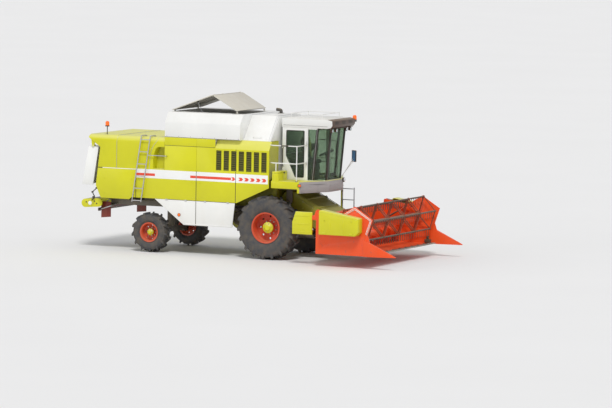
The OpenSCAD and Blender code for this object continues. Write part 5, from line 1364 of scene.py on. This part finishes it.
        # Drive shaft with joints along the left side, on two bearings
        route = [(0.42, 0.70, 1.52), (1.80, 0.70, 0.86)]
        piece.rod(route[0], route[1], 0.030, "black", 18)
        for t in (0.06, 0.94):
            place = Vector(route[0]).lerp(Vector(route[1]), t)
            piece.rod(place - Vector((0.05, 0, -0.024)), place + Vector((0.05, 0, -0.024)), 0.048,
                      "steel", 20, bevel=0.004)
        for t in (0.25, 0.75):
            place = Vector(route[0]).lerp(Vector(route[1]), t)
            piece.box(place - Vector((0.03, 0.082, 0.045)), place + Vector((0.03, 0.02, 0.045)), 0.006,
                      "black")
        # Hydraulic pipes clamped on the left side
        for i in range(3):
            z = 1.24 + i * 0.035
            piece.tube([(0.66, 0.632, z + 0.12), (0.95, 0.634, z - 0.03), (1.70, 0.634, z - 0.40),
                        (1.86, 0.60, z - 0.44)], 0.010, "seal", 2, 0.06)
        for x, z in ((0.98, 1.25), (1.35, 1.07), (1.66, 0.92)):
            piece.box((x - 0.02, 0.622, z - 0.07), (x + 0.02, 0.652, z + 0.07), 0.003, "black")
        # Bolts on the drive cover of the right side
        places = [(x, -half - 0.029, 1.865 - (x - 0.41) * 0.534 - dz) for x in (0.75, 1.05, 1.35, 1.65)
                  for dz in (0.10, 0.28)]
        piece.bolts(places, (0, -1, 0), 0.011, "bolt")
        piece.done()

    def reel_parts(self):
        piece = Piece("reel_springs", "reel", "header_red", "reel_steel")
        # A coil where each tine leaves its bar: six bars, 28 tines along each
        places = []
        for i in range(6):
            angle = math.radians(13 + i * 60)
            x, z = REEL_X + 0.53 * math.cos(angle), REEL_Z + 0.53 * math.sin(angle)
            places += [Matrix.Translation((x, -2.025 + k * 0.15, z - 0.020)) for k in range(28)]
        part = bmesh.new()
        bmesh.ops.create_cone(part, cap_ends=True, segments=8, radius1=0.0155, radius2=0.0155, depth=0.036)
        bmesh.ops.rotate(part, cent=(0, 0, 0), matrix=Matrix.Rotation(math.pi / 2, 3, "X"), verts=part.verts)
        piece.add(part, "reel_steel", places)
        # Bolts on the spiders: between the arms, on the end discs
        for side in (1, -1):
            piece.bolts(ring(REEL_X, side * 2.122, REEL_Z, 0.075, 6), (0, side, 0), 0.010, "bolt")
        piece.done()
        # Pipes on the reel arms
        arms = Piece("reel_arm_parts", "reel_lift", "header_red", "black")
        arms.tube([(2.02, 2.218, 1.545), (2.50, 2.218, 1.462), (2.96, 2.218, 1.235)], 0.009, "black", 2,
                  0.08, BOTH)
        for x, z in ((2.15, 1.512), (2.40, 1.470), (2.75, 1.345)):
            arms.box((x - 0.015, 2.205, z - 0.005), (x + 0.015, 2.231, z + 0.022), 0.003, "black", BOTH)
        arms.done()


class DressChassis(bpy.types.Operator):
    """Fit belts, pulleys, pipes, stays and fixings under and behind the body"""

    bl_idname = "harvester.dress_chassis"
    bl_label = "Undercarriage and tail"

    def execute(self, context):
        self.belts()
        self.cylinders()
        self.tail()
        self.unloading()
        return {"FINISHED"}

    def pulley(self, piece, x, z, radius, face, side):
        """Grooved pulley on its hub, against the housing's side."""
        outline = [(0.02, 0.0), (radius, 0.0), (radius, 0.008), (radius - 0.014, 0.018),
                   (radius - 0.014, 0.030), (radius, 0.040), (radius, 0.048), (radius * 0.82, 0.048),
                   (radius * 0.78, 0.030), (0.05, 0.030), (0.045, 0.060), (0.02, 0.060)]
        piece.turned(outline, (x, side * face, z), OUTWARD[side], "black", 36)
        piece.bolts([(x, side * (face + 0.062), z)], (0, side, 0), 0.016, "bolt")

    def belts(self):
        piece = Piece("belt_drive", "root", "axle_dark", "black")
        face = 0.862
        # Pulleys on both sides of the housing: place along X, height, radius
        drive = [(-1.08, 1.06, 0.20), (-2.00, 1.60, 0.22), (-2.95, 1.50, 0.14)]
        for side in (1, -1):
            for x, z, radius in drive:
                piece.rod((x, side * 0.78, z), (x, side * (face + 0.055), z), 0.03, "steel", 14)
                self.pulley(piece, x, z, radius, face, side)
            # Belt round each neighbouring pair
            for (ax, az, ar), (bx, bz, br) in zip(drive, drive[1:]):
                self.belt(piece, (ax, az, ar - 0.012), (bx, bz, br - 0.012), side * (face + 0.024))
        # Hydraulic pipes clipped along the rails
        for y, z in ((0.875, 1.37), (0.875, 1.34)):
            piece.rod((-3.3, y, z), (-0.35, y, z), 0.009, "seal", 8, copies=BOTH)
        for x in (-3.1, -2.2, -0.6):
            piece.box((x - 0.015, 0.858, 1.32), (x + 0.015, 0.888, 1.39), 0.003, "steel", BOTH)
        # Bolts of the axle housings
        for side in (1, -1):
            piece.bolts(ring(0, side * 0.876, 0.88, 0.115, 10), (0, side, 0), 0.013, "bolt")
        piece.done()

    def belt(self, piece, first, second, y):
        """Flat belt round a pair of pulleys."""
        (ax, az, ar), (bx, bz, br) = first, second
        run = math.hypot(bx - ax, bz - az)
        heading = math.atan2(bz - az, bx - ax)
        open_angle = math.acos((ar - br) / run)
        route = []
        for x, z, radius, start, end in ((ax, az, ar, heading + open_angle, heading + math.tau - open_angle),
                                         (bx, bz, br, heading - open_angle, heading + open_angle)):
            steps = 14
            route += [(x + radius * math.cos(start + (end - start) * k / steps),
                       z + radius * math.sin(start + (end - start) * k / steps)) for k in range(steps + 1)]
        part = bmesh.new()
        rings = []
        for k, (x, z) in enumerate(route):
            before, after = route[k - 1], route[(k + 1) % len(route)]
            way = Vector((after[0] - before[0], after[1] - before[1])).normalized()
            out = Vector((way.y, -way.x)) * 0.006
            rings.append([part.verts.new((x + s * out.x, y + t, z + s * out.y))
                          for s, t in ((-1, -0.010), (1, -0.010), (1, 0.010), (-1, 0.010))])
        for k, ring in enumerate(rings):
            after = rings[(k + 1) % len(rings)]
            for i in range(4):
                part.faces.new((ring[i], ring[(i + 1) % 4], after[(i + 1) % 4], after[i]))
        piece.add(part, "seal")

    def cylinders(self):
        # Glands, hose ports and pipes of the lift cylinders
        piece = Piece("lift_parts", "lift_barrels", "barrel_black", "black")
        piece.turned([(0.033, -0.012), (0.060, -0.012), (0.060, 0.018), (0.050, 0.026), (0.033, 0.026)],
                     (0.98, 0.42, 0.62), "X", "black", 28, BOTH)
        piece.rod((0.34, 0.42, 0.668), (0.34, 0.42, 0.70), 0.016, "steel", 10, copies=BOTH)
        piece.tube([(0.34, 0.42, 0.695), (0.36, 0.42, 0.715), (0.90, 0.42, 0.700), (0.93, 0.42, 0.675)],
                   0.009, "steel", 2, 0.03, BOTH)
        piece.done()

    def tail(self):
        piece = Piece("tail_parts", "root", "axle_dark", "black")
        # Dark stay with its links between the hood's lower corner and the chopper
        piece.tube([(-5.30, 1.386, 1.72), (-5.44, 1.386, 1.60), (-5.40, 1.30, 1.45),
                    (-5.52, 1.262, 1.36)], 0.014, "black", 3, 0.04, BOTH)
        for x, z in ((-5.31, 1.72), (-5.44, 1.60), (-5.41, 1.46)):
            piece.rod((x, 1.36, z), (x, 1.402, z), 0.026, "black", 14, copies=BOTH, bevel=0.003)
        # Lozenge plates of the chopper: a pale disc on the bearing, painted as a highlight, bolts and
        # adjusting slots
        for side in (1, -1):
            face = side * 1.251
            piece.turned([(0.0005, 0), (0.056, 0), (0.054, 0.010), (0.034, 0.016), (0.0005, 0.018)],
                         (-5.58, face, 1.275), OUTWARD[side], "stripe_white", 32)
            piece.bolts(ring(-5.58, side * 1.256, 1.275, 0.092, 6), (0, side, 0), 0.009, "bolt")
            for x, z in ((-5.44, 1.33), (-5.37, 1.27), (-5.70, 1.30)):
                piece.rod((x, side * 1.249, z), (x, side * 1.257, z), 0.020, "black", 16)
        # Struts that hold the chopper's plate to the rails
        piece.tube([(-5.05, 1.0, 1.40), (-5.20, 1.05, 1.30), (-5.34, 1.10, 1.12)], 0.014, "steel", 3,
                   0.05, BOTH)
        # Silver struts from the hitch plates up to the rails, and a tail lamp at the foot of each
        piece.tube([(-5.34, 1.128, 1.095), (-4.98, 1.120, 1.215), (-4.90, 0.868, 1.285)], 0.017, "steel",
                   3, 0.05, BOTH)
        piece.box((-5.352, 1.098, 1.06), (-5.305, 1.20, 1.15), 0.008, "black", BOTH)
        piece.box((-5.357, 1.106, 1.068), (-5.348, 1.192, 1.142), 0.003, "red_lens", BOTH)
        # Towing pin with its ring
        piece.rod((-5.34, 0, 1.12), (-5.34, 0, 1.265), 0.0150, "steel", 16, bevel=0.003)
        piece.tube([(-5.34, 0, 1.262), (-5.34, 0.03, 1.285), (-5.34, 0, 1.308), (-5.34, -0.03, 1.285),
                    (-5.34, 0, 1.262)], 0.004, "steel", 2, 0.02)
        piece.done()
        # Folded face and ribs of the tail flap
        flap = Piece("tail_flap_parts", "tail_flap", "white_paint", "white")
        flap.plate([(-5.60, 2.84), (-5.612, 2.84), (-5.79, 1.86), (-5.778, 1.86)], "Y", -1.05, 1.05, 0.004)
        for y in (-0.7, 0.0, 0.7):
            flap.plate([(-5.606, 2.80), (-5.620, 2.79), (-5.784, 1.90), (-5.772, 1.90)], "Y", y - 0.03,
                       y + 0.03, 0.004)
        flap.done()

    def unloading(self):
        piece = Piece("unload_tube_parts", "unload_tube", "lime_paint", "lime")
        y, z = 1.62, 3.0003
        # Bolts round the flanges
        for x in (-0.888, -2.688):
            piece.rod((x - 0.016, y, z + 0.183), (x + 0.016, y, z + 0.183), 0.008, "bolt", 6,
                      copies=[Matrix.Translation((0, y, z)) @ Matrix.Rotation(math.tau * i / 12, 4, "X")
                              @ Matrix.Translation((0, -y, -z)) for i in range(12)])
        # Clamp bands, the band of the rubber spout, and a rib along the top
        for x in (-1.75, -3.55, -4.90):
            piece.turned([(0.169, -0.02), (0.177, -0.02), (0.177, 0.02), (0.169, 0.02)], (x, y, z), "X",
                         "steel", 40)
            piece.box((x - 0.015, y + 0.16, z - 0.03), (x + 0.015, y + 0.20, z + 0.03), 0.004, "steel")
        piece.box((-4.85, y - 0.012, z + 0.165), (-0.95, y + 0.012, z + 0.178), 0.004)
        piece.done()
        swivel = Piece("unload_pivot_parts", "root", "lime_paint", "lime")
        swivel.turned([(0.168, -0.03), (0.20, -0.03), (0.20, -0.006), (0.168, -0.006)], (-0.64, y, 2.79),
                      "Z", "lime", 40)
        swivel.rod((0.185, 0, -0.034), (0.185, 0, -0.002), 0.008, "bolt", 6,
                   copies=around((-0.64, y, 2.79), "Z", 12))
        swivel.turned([(0.138, 0), (0.175, 0), (0.175, 0.014), (0.138, 0.014)], (-0.64, 1.4003, 2.63),
                      "Y", "lime", 36)
        swivel.done()


class HarvesterStage(bpy.types.PropertyGroup):
    """Camera and floor."""

    azimuth: bpy.props.FloatProperty(
        name="Azimuth", description="Turn of the view to the left of the machine's side", subtype="ANGLE",
        default=math.radians(25))
    elevation: bpy.props.FloatProperty(
        name="Elevation", description="How far the camera looks down", subtype="ANGLE",
        default=math.radians(4.8))
    roll: bpy.props.FloatProperty(
        name="Roll", description="Tilt of the picture, clockwise", subtype="ANGLE", default=math.radians(1.0))
    distance: bpy.props.FloatProperty(
        name="Distance", description="From the camera to the machine", subtype="DISTANCE", unit="LENGTH",
        default=120)
    frame_width: bpy.props.FloatProperty(
        name="Frame width", description="Width that the picture shows at the machine", subtype="DISTANCE",
        unit="LENGTH", default=17.0)
    aim: bpy.props.FloatVectorProperty(
        name="Aim", description="Point in the middle of the picture, in the machine's frame", subtype="XYZ",
        unit="LENGTH", default=(0.536, 0, 1.471))


class BuildStage(bpy.types.Operator):
    """Make the floor, the lights and the camera"""

    bl_idname = "harvester.build_stage"
    bl_label = "Stage"

    def execute(self, context):
        stage = context.scene.harvester_stage
        scene = context.scene
        scene.view_settings.view_transform = "Standard"
        self.floor()
        self.lights(scene)
        self.camera(scene, stage)
        return {"FINISHED"}

    def floor(self):
        part = bmesh.new()
        bmesh.ops.create_circle(part, cap_ends=True, segments=96, radius=900)
        mesh = bpy.data.meshes.new("floor")
        part.to_mesh(mesh)
        part.free()
        floor = bpy.data.objects.new("floor", mesh)
        bpy.context.scene.collection.objects.link(floor)
        pale = Finish("pale_floor", (0.80, 0.79, 0.77), 0.9)
        pale.set("Base Color", pale.mix(pale.noise(0.15, 3), (0.79, 0.78, 0.76, 1), (0.82, 0.81, 0.79, 1)))
        mesh.materials.append(pale.material)

    def lights(self, scene):
        world = bpy.data.worlds.new("soft_studio")
        scene.world = world
        world.use_nodes = True
        world.node_tree.nodes["Background"].inputs["Color"].default_value = (0.93, 0.95, 1.0, 1)
        world.node_tree.nodes["Background"].inputs["Strength"].default_value = 0.62
        # Name, strength, softness in degrees, height and bearing of each sun in degrees
        for name, strength, softness, rise, bearing in (("key", 1.7, 12, 52, -62),
                                                        ("fill", 0.35, 40, 20, -130)):
            sun = bpy.data.lights.new(name, "SUN")
            sun.energy = strength
            sun.angle = math.radians(softness)
            lamp = bpy.data.objects.new(name, sun)
            rise, bearing = math.radians(rise), math.radians(bearing)
            towards = Vector((math.cos(rise) * math.cos(bearing), math.cos(rise) * math.sin(bearing),
                              math.sin(rise)))
            lamp.rotation_euler = towards.to_track_quat("Z", "Y").to_euler()
            lamp.location = towards * 30
            scene.collection.objects.link(lamp)

    def camera(self, scene, stage):
        lens_data = bpy.data.cameras.new("camera")
        camera = bpy.data.objects.new("camera", lens_data)
        scene.collection.objects.link(camera)
        a, e = stage.azimuth, stage.elevation
        towards = Vector((math.sin(a) * math.cos(e), -math.cos(a) * math.cos(e), math.sin(e)))
        aim = Vector(stage.aim) + Vector((AXLE_X, 0, 0))
        turn = towards.to_track_quat("Z", "Y").to_matrix().to_4x4()
        camera.matrix_world = (Matrix.Translation(aim + towards * stage.distance) @ turn
                               @ Matrix.Rotation(stage.roll, 4, "Z"))
        lens_data.sensor_width = 36
        lens_data.lens = lens_data.sensor_width * stage.distance / stage.frame_width
        lens_data.clip_end = 2000
        scene.camera = camera


class HARVESTER_PT_build(bpy.types.Panel):
    """Sizes, colours and building steps of the harvester"""

    bl_label = "Combine Harvester"
    bl_space_type = "VIEW_3D"
    bl_region_type = "UI"
    bl_category = "Harvester"

    def draw(self, context):
        layout = self.layout
        for name, group in GROUPS.items():
            box = layout.box()
            box.label(text=group.__doc__.rstrip("."))
            settings = getattr(context.scene, name)
            for key in group.__annotations__:
                box.prop(settings, key)
        for operator in OPERATORS:
            layout.operator(operator.bl_idname)


GROUPS = {
    "harvester_colours": HarvesterColours,
    "harvester_tyres": HarvesterTyres,
    "harvester_panels": HarvesterPanels,
    "harvester_stage": HarvesterStage,
}
OPERATORS = [
    MakeFinishes, PaintNodes, RoundEdges, BuildTyres, BuildRims, BuildPanels, DressSkirts, PadSeat, DressCab,
    DressTop, DressPlatform, DressHeader, DressChassis, BuildStage,
]


def register():
    for item in [*GROUPS.values(), *OPERATORS, HARVESTER_PT_build]:
        bpy.utils.register_class(item)
    for name, group in GROUPS.items():
        setattr(bpy.types.Scene, name, bpy.props.PointerProperty(type=group))


def unregister():
    for name in GROUPS:
        delattr(bpy.types.Scene, name)
    for item in reversed([*GROUPS.values(), *OPERATORS, HARVESTER_PT_build]):
        bpy.utils.unregister_class(item)


def main():
    register()
    for operator in OPERATORS:
        group, action = operator.bl_idname.split(".")
        getattr(getattr(bpy.ops, group), action)()


if __name__ == "__main__":
    main()
